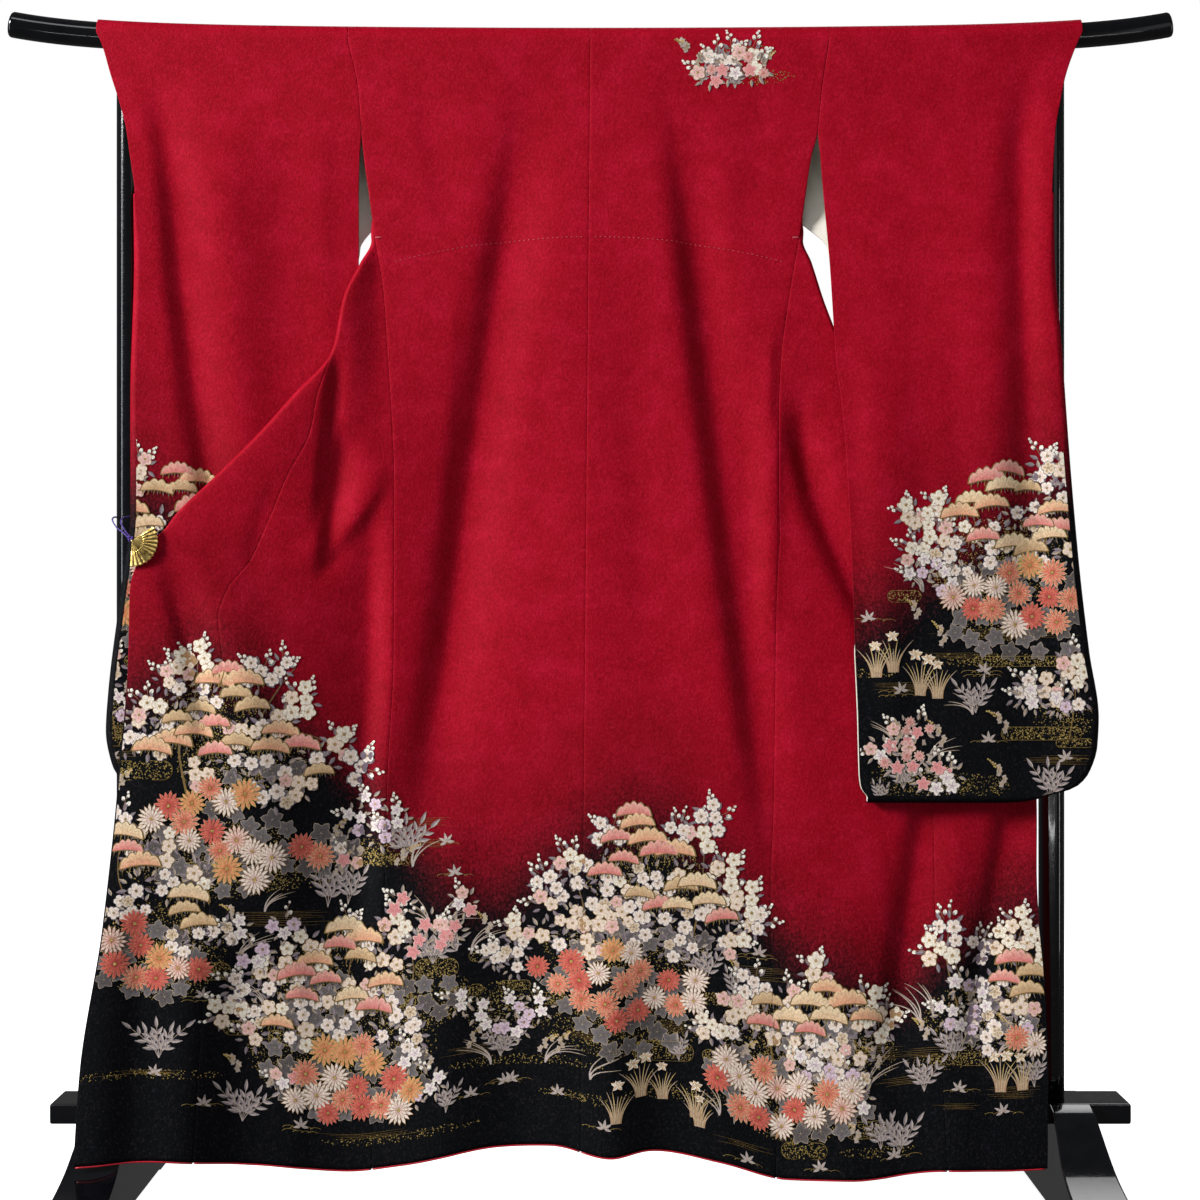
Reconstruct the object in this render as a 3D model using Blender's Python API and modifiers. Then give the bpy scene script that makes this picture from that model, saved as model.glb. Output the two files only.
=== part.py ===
"""Furisode, a long-sleeved kimono, hung by its shoulders and sleeves over the pole of a lacquered stand.

Metres, +Z up. X = 0 is the middle of the stand, Y = 0 the middle of its pole and feet, Z = 0 the floor.
The kimono's back faces -Y. Left and right are the viewer's, looking at that back.
Both fronts are drawn out sideways past the side seams, so that their pattern shows beside the back.
"""

import math

import bmesh
import bpy
import numpy as np

# Driving dimensions
WALL = 0.002
SEAM_GAP = 0.0004
FOLD_SEAM_GAP = 0.0010
POLE_RADIUS = 0.018
POLE_HALF = 0.812
POLE_HEIGHT = 1.620
POLE_BOW = 0.010
POLE_TIP_RISE = 0.017
HANG_RADIUS = POLE_RADIUS + 0.0028  # to the middle of the cloth's wall, clear of the pole at every facet
POST_RADIUS = 0.018
POST_X = 0.645
BOARD_HALF_LENGTH = 0.747
BOARD_HALF_DEPTH = 0.050
BOARD_TOP = 0.145
BOARD_BOTTOM = 0.117
FOOT_HALF = 0.300
FOOT_INNER_X = 0.634
FOOT_CROWN_X = 0.690
FOOT_FLARE = 0.030
FOOT_RECESS = 0.003
FOOT_PAD = 0.100
JOINT_GAP = 0.0003

# The kimono's own lengths
HEM = 0.070
SIDE_SEAM_TOP = 1.343
SLEEVE_SEAM_END = 1.490
WRIST_END = 1.400
FRONT_TURN_TOP = 1.420
OKUMI_TOP = 1.400
COLLAR_WIDTH = 0.058
COLLAR_FOOT = 0.965
NECK_HALF = 0.092
NECK_CORNER = 0.070
CENTRE_SEAM_SHIFT = -0.014

# How the cloth hangs: where the pole's bow and the hem's line fade out, where the drawn fronts swing
# towards the viewer, and how far from the side seam their folds and their hidden part set in
BOW_FOOT = 1.250
BOW_FADE = 0.330
HEM_FADE_TOP = 0.460
HEM_FADE = 0.390
SWING_TOP = 1.360
SWING_FADE = 0.060
FOLD_REACH = 0.040
UNDER_FOOT = 0.850
UNDER_REACH = 0.100
FOLD_END = 0.30
FOLD_SHARPNESS = 1.5
FOLD_SEAM_ROWS = (1.13, 1.40)
SLEEVE_TUCK = 0.050
SLEEVE_FOLD_END = 0.15

# The clip that holds the left front, and its cord round the post
FAN_PIVOT = (-0.6265, 0.922)
FAN_DEPTH = -0.0850
FAN_HUB = 0.0015
FAN_RADIUS = 0.036
FAN_FIRST_ANGLE = 35
FAN_LAST_ANGLE = -95
FAN_RIBS = 12
FAN_RINGS = 3
FAN_PLEAT = 0.0006
FAN_THICKNESS = 0.0014
JAW_ANGLE = -50
JAW_RADIUS = 0.001
JAW_PATH = [(0.010, 0.0), (0.004, 0.0004), (0.003, 0.0035), (0.006, 0.0062), (0.016, 0.0072),
            (0.026, 0.0058), (0.034, 0.0068)]
KNOT_RADIUS = 0.004
KNOT = (-0.6293, -0.0850, 0.9248)
CORD_RADIUS = 0.0012
CORD_LOOP = 0.0202
CORD_HEIGHT = 0.957
CORD_OUT = [(-0.6326, -0.0830, 0.9269), (-0.6420, -0.0720, 0.9340), (-0.6530, -0.0560, 0.9410),
            (-0.6620, -0.0360, 0.9500), (-0.6650, -0.0200, 0.9550)]
CORD_BACK = [(-0.6440, -0.0235, 0.9568), (-0.6500, -0.0320, 0.9540), (-0.6490, -0.0450, 0.9480),
             (-0.6420, -0.0620, 0.9390), (-0.6302, -0.0813, 0.9270)]

# Stations along half of the pole, as shares of it
POLE_STATIONS = np.array([0.0, 0.3, 0.5, 0.65, 0.76, 0.85, 0.92, 0.99, 1.0])
POLE_TIP_SHARE = 0.86

# Rows of the body's cloth, by height: close together where the fronts roll over
LOWER_ROWS = [0.070, 0.120, 0.190, 0.270, 0.360, 0.460, 0.560, 0.660, 0.750, 0.820, 0.870, 0.900, 0.930,
              0.965, 1.000, 1.040, 1.080, 1.120, 1.145, 1.158, 1.170, 1.182, 1.194, 1.210, 1.240, 1.275,
              1.310, 1.343]
NECK_STEPS = 4
NECK_ROWS = [POLE_HEIGHT - SEAM_GAP - NECK_CORNER * (1 - math.sin(math.pi / 2 * i / NECK_STEPS))
             for i in range(NECK_STEPS)]
UPPER_ROWS = [1.370, 1.400, 1.430, 1.460, 1.490, 1.520] + NECK_ROWS + [POLE_HEIGHT]
SLEEVE_ROWS = [0.571, 0.580, 0.600, 0.635, 0.680, 0.760, 0.860, 0.960, 1.060, 1.160, 1.250, 1.330, 1.400]
WRAP_STEPS = 6
BACK_COLUMNS = 8
FRONT_COLUMNS = 10
OKUMI_COLUMNS = 6
NARROW_COLUMN = 0.0015
ROLL_WEIGHT = 8.0
COLLAR_COLUMNS = 2
SLEEVE_COLUMNS = 7
TURN_STEPS = 4


def table(names, rows):
    """The columns of a table, each under its name."""
    return dict(zip(names.split(), np.array(rows, float).T))


# Upper edge of a foot, from the board's notch to the toe
FOOT_TOP = table("reach height", [
    (0.0503, 0.145),
    (0.0760, 0.137),
    (0.1000, 0.118),
    (0.1250, 0.095),
    (0.1500, 0.076),
    (0.1800, 0.062),
    (0.2200, 0.050),
    (0.2700, 0.039),
    (0.2950, 0.034),
    (0.3000, 0.028),
])
# How far the cloth leans out from under the pole, at each height
LEAN = table("height depth", [
    (1.620, -0.0208),
    (1.490, -0.0240),
    (1.343, -0.0300),
    (1.000, -0.0400),
    (0.600, -0.0560),
    (0.145, -0.0740),
    (0.070, -0.0780),
])
# Depth of the fronts' outer edges behind the pole, from the side seam's top up
FAR = table("height depth", [
    (1.620, 0.0208),
    (1.560, 0.0206),
    (1.490, 0.0160),
    (1.440, 0.0100),
    (1.390, -0.0060),
    (1.343, -0.0300),
])
# How far behind the seam the hidden part of a front lies, under the back
BEHIND = table("height depth", [
    (1.620, 0.000),
    (1.490, 0.002),
    (1.400, 0.012),
    (1.343, 0.016),
    (1.200, 0.020),
    (1.000, 0.016),
    (0.930, 0.010),
])
# Lower edge, across the garment
HEM_LINE = table("height lift", [
    (0.640, 0.067),
    (0.562, 0.063),
    (0.480, 0.062),
    (0.356, 0.048),
    (0.274, 0.048),
    (0.178, 0.071),
    (0.082, 0.087),
    (0.027, 0.078),
    (-0.055, 0.094),
    (-0.124, 0.092),
    (-0.260, 0.068),
    (-0.328, 0.060),
    (-0.448, 0.072),
    (-0.605, 0.085),
    (-0.700, 0.081),
])
# A front at each height: distance of the side seam from X = 0, then distances along the cloth from that
# seam to the fold, the okumi seam and the front edge, the fold's radius, and the cloth's depth there
LEFT_FRONT = table("height seam fold okumi edge roll outer", [
    (1.620, 0.3380, 0.006, 0.2460, 0.2460, 0.005, -0.030),
    (1.551, 0.3230, 0.006, 0.2310, 0.2310, 0.005, -0.030),
    (1.490, 0.3185, 0.006, 0.2265, 0.2265, 0.005, -0.030),
    (1.440, 0.3130, 0.006, 0.2220, 0.2220, 0.005, -0.030),
    (1.400, 0.3070, 0.006, 0.2120, 0.2200, 0.005, -0.030),
    (1.343, 0.2990, 0.006, 0.1750, 0.2230, 0.005, -0.030),
    (1.307, 0.2925, 0.0275, 0.1480, 0.2480, 0.005, -0.040),
    (1.263, 0.2865, 0.0545, 0.1180, 0.2740, 0.005, -0.046),
    (1.183, 0.2810, 0.078, 0.0800, 0.2920, 0.006, -0.052),
    (1.122, 0.2770, 0.135, 0.1000, 0.3040, 0.0075, -0.060),
    (1.071, 0.2740, 0.183, 0.1130, 0.3160, 0.0075, -0.065),
    (1.011, 0.2720, 0.244, 0.1460, 0.3220, 0.006, -0.070),
    (0.960, 0.2720, 0.296, 0.1670, 0.3250, 0.004, -0.075),
    (0.930, 0.2720, 0.320, 0.1800, 0.3265, 0.003, -0.078),
    (0.895, 0.2720, 0.420, 0.1960, 0.3470, 0.003, -0.080),
    (0.856, 0.2720, 0.600, 0.2260, 0.3580, 0.003, -0.083),
    (0.818, 0.2720, 0.600, 0.2380, 0.3585, 0.003, -0.086),
    (0.750, 0.2725, 0.600, 0.2310, 0.3590, 0.003, -0.090),
    (0.600, 0.2800, 0.600, 0.2290, 0.3620, 0.003, -0.104),
    (0.400, 0.2840, 0.600, 0.2350, 0.3750, 0.003, -0.128),
    (0.195, 0.2950, 0.600, 0.2350, 0.3910, 0.003, -0.150),
    (0.070, 0.2990, 0.600, 0.2370, 0.3930, 0.003, -0.162),
])
RIGHT_FRONT = table("height seam fold okumi edge roll outer", [
    (1.620, 0.3325, 0.006, 0.2405, 0.2405, 0.005, -0.030),
    (1.551, 0.3220, 0.006, 0.2300, 0.2300, 0.005, -0.030),
    (1.490, 0.3160, 0.006, 0.2240, 0.2240, 0.005, -0.030),
    (1.457, 0.3075, 0.006, 0.2160, 0.2160, 0.005, -0.030),
    (1.400, 0.2985, 0.006, 0.2035, 0.2115, 0.005, -0.030),
    (1.343, 0.2900, 0.006, 0.1680, 0.2140, 0.005, -0.030),
    (1.310, 0.2840, 0.0235, 0.1280, 0.2360, 0.005, -0.032),
    (1.243, 0.2730, 0.0565, 0.0880, 0.2720, 0.005, -0.034),
    (1.174, 0.2645, 0.096, 0.0930, 0.2980, 0.006, -0.036),
    (1.090, 0.2610, 0.168, 0.1180, 0.3180, 0.007, -0.038),
    (1.007, 0.2610, 0.251, 0.1600, 0.3280, 0.006, -0.039),
    (0.930, 0.2620, 0.320, 0.1930, 0.3350, 0.003, -0.040),
    (0.895, 0.2600, 0.420, 0.2040, 0.3460, 0.003, -0.041),
    (0.813, 0.2570, 0.600, 0.2130, 0.3560, 0.003, -0.042),
    (0.560, 0.2530, 0.600, 0.2210, 0.3640, 0.003, -0.050),
    (0.430, 0.2480, 0.600, 0.2265, 0.3680, 0.003, -0.060),
    (0.320, 0.2500, 0.600, 0.2255, 0.3740, 0.003, -0.072),
    (0.195, 0.2550, 0.600, 0.2275, 0.3720, 0.003, -0.085),
    (0.120, 0.2555, 0.600, 0.2300, 0.3690, 0.003, -0.092),
    (0.070, 0.2545, 0.600, 0.2335, 0.3690, 0.003, -0.096),
])
# A sleeve at each height: distances of its inner and outer edges from X = 0, depths of its near and far
# layers at those edges, and the far layer's own outer edge, which passes beside the post
LEFT_SLEEVE = table("height inner outer near_in near_out far_in far_out far_edge", [
    (1.620, 0.3380, 0.688, -0.0208, -0.0208, 0.0208, 0.0208, 0.688),
    (1.606, 0.3345, 0.681, -0.0210, -0.0210, 0.0207, 0.0209, 0.680),
    (1.560, 0.3245, 0.667, -0.0220, -0.0226, 0.0204, 0.0212, 0.611),
    (1.525, 0.3210, 0.655, -0.0230, -0.0255, 0.0180, 0.0090, 0.606),
    (1.490, 0.3185, 0.645, -0.0240, -0.0290, 0.0160, -0.0040, 0.606),
    (1.460, 0.3205, 0.640, -0.0235, -0.0330, 0.0120, -0.0140, 0.606),
    (1.430, 0.3215, 0.635, -0.0235, -0.0380, 0.0070, -0.0235, 0.611),
    (1.400, 0.3220, 0.632, -0.0230, -0.0410, 0.0020, -0.0250, 0.632),
    (1.310, 0.3220, 0.632, -0.0220, -0.0420, -0.0040, -0.0260, 0.632),
    (1.120, 0.3250, 0.637, -0.0220, -0.0430, -0.0060, -0.0270, 0.637),
    (0.966, 0.3280, 0.637, -0.0220, -0.0430, -0.0060, -0.0270, 0.637),
    (0.856, 0.3300, 0.650, -0.0220, -0.0430, -0.0060, -0.0270, 0.650),
    (0.710, 0.3350, 0.668, -0.0220, -0.0430, -0.0060, -0.0270, 0.668),
    (0.660, 0.3370, 0.671, -0.0220, -0.0430, -0.0060, -0.0270, 0.671),
    (0.615, 0.3400, 0.663, -0.0220, -0.0430, -0.0060, -0.0270, 0.663),
    (0.585, 0.3430, 0.642, -0.0220, -0.0430, -0.0060, -0.0270, 0.642),
    (0.571, 0.3460, 0.600, -0.0220, -0.0430, -0.0060, -0.0270, 0.600),
])
RIGHT_SLEEVE = table("height inner outer near_in near_out far_in far_out far_edge", [
    (1.620, 0.3325, 0.685, -0.0208, -0.0208, 0.0208, 0.0208, 0.685),
    (1.606, 0.3295, 0.678, -0.0210, -0.0210, 0.0207, 0.0209, 0.677),
    (1.560, 0.3230, 0.661, -0.0220, -0.0226, 0.0204, 0.0212, 0.611),
    (1.525, 0.3195, 0.653, -0.0230, -0.0262, 0.0180, 0.0090, 0.606),
    (1.490, 0.3160, 0.646, -0.0240, -0.0310, 0.0160, -0.0040, 0.606),
    (1.460, 0.3190, 0.643, -0.0260, -0.0360, 0.0090, -0.0140, 0.606),
    (1.430, 0.3210, 0.641, -0.0300, -0.0410, 0.0000, -0.0240, 0.611),
    (1.400, 0.3230, 0.640, -0.0350, -0.0450, -0.0100, -0.0290, 0.640),
    (1.310, 0.3300, 0.641, -0.0490, -0.0560, -0.0310, -0.0400, 0.641),
    (1.185, 0.3370, 0.648, -0.0640, -0.0720, -0.0480, -0.0560, 0.648),
    (1.070, 0.3490, 0.655, -0.0720, -0.0780, -0.0560, -0.0620, 0.655),
    (0.900, 0.3580, 0.669, -0.0760, -0.0800, -0.0600, -0.0640, 0.669),
    (0.770, 0.3630, 0.684, -0.0760, -0.0800, -0.0600, -0.0640, 0.684),
    (0.680, 0.3670, 0.697, -0.0760, -0.0800, -0.0600, -0.0640, 0.697),
    (0.640, 0.3680, 0.695, -0.0760, -0.0800, -0.0600, -0.0640, 0.695),
    (0.605, 0.3690, 0.684, -0.0760, -0.0800, -0.0600, -0.0640, 0.684),
    (0.585, 0.3710, 0.666, -0.0760, -0.0800, -0.0600, -0.0640, 0.666),
    (0.571, 0.3800, 0.620, -0.0760, -0.0800, -0.0600, -0.0640, 0.620),
])
# Large folds, as straight lines from a top to a foot: depth is away from the viewer, negative for a ridge
BODY_FOLDS = table("top_x top_z foot_x foot_z bow depth half_width", [
    (-0.112, 1.520, -0.256, 0.560, -0.010, 0.017, 0.050),
    (-0.200, 1.400, -0.262, 0.850, 0.000, -0.006, 0.045),
    (0.097, 1.580, 0.240, 0.460, 0.000, 0.015, 0.045),
    (0.180, 1.400, 0.225, 0.900, 0.000, -0.006, 0.040),
    (-0.010, 1.500, -0.010, 0.600, 0.000, -0.006, 0.090),
    (0.020, 0.420, 0.030, 0.000, 0.000, -0.012, 0.045),
    (-0.080, 0.450, -0.100, 0.000, 0.000, 0.008, 0.060),
    (0.110, 0.420, 0.115, 0.000, 0.000, 0.007, 0.050),
    (-0.195, 0.600, -0.205, 0.000, 0.000, -0.008, 0.050),
])
LEFT_FOLDS = table("top_x top_z foot_x foot_z bow depth half_width", [
    (-0.366, 1.180, -0.400, 0.800, 0.010, 0.010, 0.028),
    (-0.600, 0.905, -0.540, 0.660, 0.012, 0.010, 0.022),
    (-0.520, 0.860, -0.420, 0.300, 0.020, -0.010, 0.050),
    (-0.360, 0.900, -0.350, 0.200, 0.000, 0.010, 0.050),
    (-0.600, 0.500, -0.615, 0.000, 0.000, 0.012, 0.040),
    (-0.470, 0.420, -0.480, 0.000, 0.000, 0.010, 0.050),
])
RIGHT_FOLDS = table("top_x top_z foot_x foot_z bow depth half_width", [
    (0.300, 1.180, 0.305, 0.700, 0.000, 0.006, 0.030),
    (0.440, 0.700, 0.450, 0.100, 0.000, 0.012, 0.035),
    (0.545, 0.700, 0.560, 0.000, 0.000, 0.012, 0.035),
    (0.350, 0.500, 0.350, 0.000, 0.000, -0.010, 0.050),
])
LEFT_SLEEVE_FOLDS = table("top_x top_z foot_x foot_z bow depth half_width", [
    (-0.600, 1.420, -0.540, 0.900, 0.010, 0.008, 0.026),
    (-0.430, 1.560, -0.420, 0.900, 0.000, 0.006, 0.040),
])
RIGHT_SLEEVE_FOLDS = table("top_x top_z foot_x foot_z bow depth half_width", [
    (0.570, 1.570, 0.600, 1.050, 0.000, 0.008, 0.032),
    (0.450, 1.500, 0.470, 0.800, 0.000, 0.007, 0.045),
    (0.590, 1.000, 0.600, 0.560, 0.000, 0.006, 0.040),
    (0.400, 1.200, 0.410, 0.600, 0.000, -0.006, 0.040),
])


def read(columns, name, height):
    """A column's value at any height: a cubic through the table's rows that never overshoots them."""
    heights = columns["height"][::-1]
    values = columns[name][::-1]
    step = np.diff(heights)
    rise = np.diff(values) / step
    slope = np.concatenate([rise[:1], np.zeros(len(rise) - 1), rise[-1:]])
    same_way = rise[:-1] * rise[1:] > 0
    total = np.where(same_way, rise[:-1] + rise[1:], 1.0)
    slope[1:-1] = np.where(same_way, 2 * rise[:-1] * rise[1:] / total, 0.0)
    height = np.clip(height, heights[0], heights[-1])
    row = np.clip(np.searchsorted(heights, height) - 1, 0, len(step) - 1)
    t = (height - heights[row]) / step[row]
    bend = step[row] * ((t**3 - 2 * t**2 + t) * slope[row] + (t**3 - t**2) * slope[row + 1])
    return values[row] + (3 * t**2 - 2 * t**3) * (values[row + 1] - values[row]) + bend


def ease(value):
    """0 below 0, 1 above 1, and a smooth S between."""
    value = np.clip(value, 0.0, 1.0)
    return value * value * (3 - 2 * value)


def pole_rise(x):
    """How far the pole's axis has risen above its middle, at this distance along it."""
    share = abs(x) / POLE_HALF
    return POLE_BOW * share**2 + POLE_TIP_RISE * share**8


def fold_depth(folds, x, z):
    """Sum of the folds at a point: each is a soft trough across its line, fading in and out along it."""
    depth = 0.0
    for i in range(len(folds["top_x"])):
        along = (folds["top_z"][i] - z) / (folds["top_z"][i] - folds["foot_z"][i])
        line = folds["top_x"][i] + along * (folds["foot_x"][i] - folds["top_x"][i])
        line = line + folds["bow"][i] * 4 * along * (1 - along)
        open_foot = folds["foot_z"][i] <= 0.0
        fade = ease(along / FOLD_END) * (1.0 if open_foot else ease((1 - along) / FOLD_END))
        across = ((x - line) / folds["half_width"][i]) ** 2
        depth = depth + folds["depth"][i] * fade * np.exp(-across * FOLD_SHARPNESS)
    return depth


def lean(height):
    return read(LEAN, "depth", height)


def placed(x, y, height):
    """Point of hung cloth: its top follows the pole's bow and its foot the hem's line."""
    top = pole_rise(x) * ease((height - BOW_FOOT) / BOW_FADE)
    foot = (read(HEM_LINE, "lift", x) - HEM) * ease((HEM_FADE_TOP - height) / HEM_FADE)
    return (x, y, height + top + foot)


def over_pole(x, angle):
    """Point of cloth that lies on the pole: the angle runs from 0 on the near side to pi on the far side."""
    height = POLE_HEIGHT + pole_rise(x) + HANG_RADIUS * math.sin(angle)
    return (x, -HANG_RADIUS * math.cos(angle), height)


def centre_seam(height):
    return CENTRE_SEAM_SHIFT * (1 - height / POLE_HEIGHT)


def neck_edge(height):
    """Distance of the neck opening's edge from X = 0: a round corner at the top, then straight down."""
    above = max(height - (POLE_HEIGHT - SEAM_GAP - NECK_CORNER), 0.0)
    return NECK_HALF - NECK_CORNER + math.sqrt(max(NECK_CORNER**2 - above**2, 0.0))


def front_plan(front, folds, side, along, height):
    """Point of a front at a distance along its cloth from the side seam.

    The cloth runs outward from the seam, turns back round the fold, and runs inward behind itself.
    Above the side seam it starts part way round that turn, so that it hangs straight down behind.
    """
    seam = read(front, "seam", height)
    roll = read(front, "roll", height)
    fold = read(front, "fold", height)
    turn = math.pi * ease((FRONT_TURN_TOP - height) / (FRONT_TURN_TOP - SIDE_SEAM_TOP))
    start = math.pi - turn
    run = max(fold - roll - WALL / 2, 0.0) * math.sin(turn / 2)
    first = min(along, run)
    angle = start + min(max(along - run, 0.0), roll * turn) / roll
    back = max(along - run - roll * turn, 0.0)
    out = first * math.cos(start) + roll * (math.sin(angle) - math.sin(start)) - back
    behind = first * math.sin(start) + roll * (math.cos(start) - math.cos(angle))
    depth = lean(height) if height <= SIDE_SEAM_TOP else read(FAR, "depth", height)
    reach = min(fold, read(front, "edge", height))
    swing = (read(front, "outer", height) - lean(height)) * ease(max(out, 0.0) / reach)
    swing *= ease((SWING_TOP - height) / SWING_FADE)
    under = read(BEHIND, "depth", height) * ease(-out / UNDER_REACH) if height > UNDER_FOOT else 0.0
    x = side * (seam + out)
    y = depth + behind + swing + under + fold_depth(folds, x, height) * ease(out / FOLD_REACH)
    return placed(x, y, height)


def half_gap(front, folds, side, name, height):
    """Half of a seam's gap, measured along the row: wider where it runs slanting or round the fold."""
    step = 0.01
    at_fold = name == "okumi" and FOLD_SEAM_ROWS[0] < height < FOLD_SEAM_ROWS[1]
    above = front_plan(front, folds, side, read(front, name, height + step), height + step)
    below = front_plan(front, folds, side, read(front, name, height - step), height - step)
    gap = FOLD_SEAM_GAP if at_fold else SEAM_GAP
    return gap / 2 * math.hypot(1.0, (above[0] - below[0]) / (2 * step))


def columns_along(front, height, first, last, count, narrow):
    """Distances along the cloth for one row: evenly spread, but close together round the fold.

    The column beside the okumi seam, at the end that narrow names, is a narrow one, so that the two
    walls that meet there lie in one plane.
    """
    if narrow == "first":
        first += NARROW_COLUMN
    else:
        last -= NARROW_COLUMN
    roll = read(front, "roll", height)
    turn = math.pi * ease((FRONT_TURN_TOP - height) / (FRONT_TURN_TOP - SIDE_SEAM_TOP))
    run = max(read(front, "fold", height) - roll - WALL / 2, 0.0)
    breaks = np.array([first, min(max(run, first), last), min(max(run + roll * turn, first), last), last])
    cost = np.concatenate([[0.0], np.cumsum(np.diff(breaks) * (1.0, ROLL_WEIGHT, 1.0) + 1e-6)])
    spread = np.interp(np.linspace(0, cost[-1], count), cost, breaks)
    if narrow == "first":
        return np.concatenate([[first - NARROW_COLUMN], spread])
    return np.concatenate([spread, [last + NARROW_COLUMN]])


def principled(name, colour, roughness, metallic=0.0):
    material = bpy.data.materials.new(name)
    material.use_nodes = True
    shader = material.node_tree.nodes["Principled BSDF"]
    shader.inputs["Base Color"].default_value = (*colour, 1.0)
    shader.inputs["Roughness"].default_value = roughness
    shader.inputs["Metallic"].default_value = metallic
    return material


def add_object(name, mesh, material):
    mesh.materials.append(material)
    mesh.shade_smooth()
    mesh.set_sharp_from_angle(angle=math.radians(40))
    obj = bpy.data.objects.new(name, mesh)
    parts.objects.link(obj)
    return obj


def map_grid(bm, columns, rows, place):
    """Adds a grid to the mesh, and moves each of its points to place(column, row)."""
    made = bmesh.ops.create_grid(bm, x_segments=columns, y_segments=rows, size=1.0)
    for vert in made["verts"]:
        column = round((vert.co.x + 1) / 2 * columns)
        row = round((vert.co.y + 1) / 2 * rows)
        vert.co = place(column, row)


def wall_from(name, bm, material, thickness=WALL):
    """A wall of even thickness from an open surface, which lies in the middle of it."""
    bmesh.ops.remove_doubles(bm, verts=bm.verts, dist=0.00001)
    bmesh.ops.recalc_face_normals(bm, faces=bm.faces)
    mesh = bpy.data.meshes.new(name)
    bm.to_mesh(mesh)
    bm.free()
    obj = add_object(name, mesh, material)
    thick = obj.modifiers.new("Thickness", "SOLIDIFY")
    thick.thickness = thickness
    thick.offset = 0.0
    return obj


def sheet(name, columns, rows, place, material, thickness=WALL):
    bm = bmesh.new()
    map_grid(bm, columns, rows, place)
    return wall_from(name, bm, material, thickness)


def make_back(name, side, front, material):
    """Half of the back, from the hem up and over the pole to the shoulder line behind it."""
    heights = LOWER_ROWS + UPPER_ROWS
    straight = len(heights) - 1

    def place(column, row):
        height = heights[min(row, straight)]
        middle = centre_seam(height) + side * SEAM_GAP / 2
        outer = side * (read(front, "seam", height) - SEAM_GAP / 2)
        x = middle + (outer - middle) * column / BACK_COLUMNS
        if row > straight:
            return over_pole(x, math.pi * (row - straight) / WRAP_STEPS)
        return placed(x, lean(height) + fold_depth(BODY_FOLDS, x, height), height)

    return sheet(name, BACK_COLUMNS, straight + WRAP_STEPS, place, material)


def make_front(name, side, front, folds, material):
    """A front, from the shoulder line behind the pole to the hem, out to its seam with the okumi."""
    heights = LOWER_ROWS + UPPER_ROWS[:-1] + [POLE_HEIGHT - SEAM_GAP]

    def place(column, row):
        height = heights[row]
        last = read(front, "okumi", height) - half_gap(front, folds, side, "okumi", height)
        if height > OKUMI_TOP:
            at_neck = read(front, "seam", height) - neck_edge(height) - SEAM_GAP / 2
            last = at_neck if height > POLE_HEIGHT - NECK_CORNER else min(last, at_neck)
        along = columns_along(front, height, SEAM_GAP / 2, last, FRONT_COLUMNS, "last")[column]
        return front_plan(front, folds, side, along, height)

    return sheet(name, FRONT_COLUMNS, len(heights) - 1, place, material)


def make_okumi(name, side, front, folds, material):
    """The okumi, the narrow panel along the front edge, from its point under the collar to the hem."""
    heights = [height for height in LOWER_ROWS + UPPER_ROWS if height <= OKUMI_TOP]

    def place(column, row):
        height = heights[row]
        first = read(front, "okumi", height) + half_gap(front, folds, side, "okumi", height)
        last = read(front, "edge", height) - half_gap(front, folds, side, "edge", height)
        along = columns_along(front, height, first, last, OKUMI_COLUMNS, "first")[column]
        return front_plan(front, folds, side, along, height)

    return sheet(name, OKUMI_COLUMNS, len(heights) - 1, place, material)


def make_collar(name, material):
    """The collar, up the hidden edge of one front, round the back of the neck and down the other."""
    corner_z = POLE_HEIGHT - SEAM_GAP - NECK_CORNER
    leg = [height for height in LOWER_ROWS + UPPER_ROWS if COLLAR_FOOT <= height < corner_z]
    path = [("left", height) for height in leg]
    path += [("left_turn", math.pi / 2 * i / NECK_STEPS) for i in range(NECK_STEPS + 1)]
    path += [("right_turn", math.pi / 2 * i / NECK_STEPS) for i in range(NECK_STEPS, -1, -1)]
    path += [("right", height) for height in reversed(leg)]

    def place(column, row):
        stretch, value = path[row]
        side = -1 if stretch.startswith("left") else 1
        front = LEFT_FRONT if side < 0 else RIGHT_FRONT
        folds = LEFT_FOLDS if side < 0 else RIGHT_FOLDS
        on_leg = stretch in ("left", "right")
        first = half_gap(front, folds, side, "edge", value) if on_leg else SEAM_GAP / 2
        width = first + (COLLAR_WIDTH - first) * column / COLLAR_COLUMNS
        if on_leg:
            along = read(front, "edge", value) + width
            return front_plan(front, folds, side, along, value)
        radius = NECK_CORNER - width
        height = corner_z + radius * math.sin(value)
        x = side * (NECK_HALF - NECK_CORNER + radius * math.cos(value))
        depth = read(FAR, "depth", height) + read(BEHIND, "depth", height)
        return (x, depth, height + pole_rise(x))

    return sheet(name, COLLAR_COLUMNS, len(path) - 1, place, material)


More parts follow.
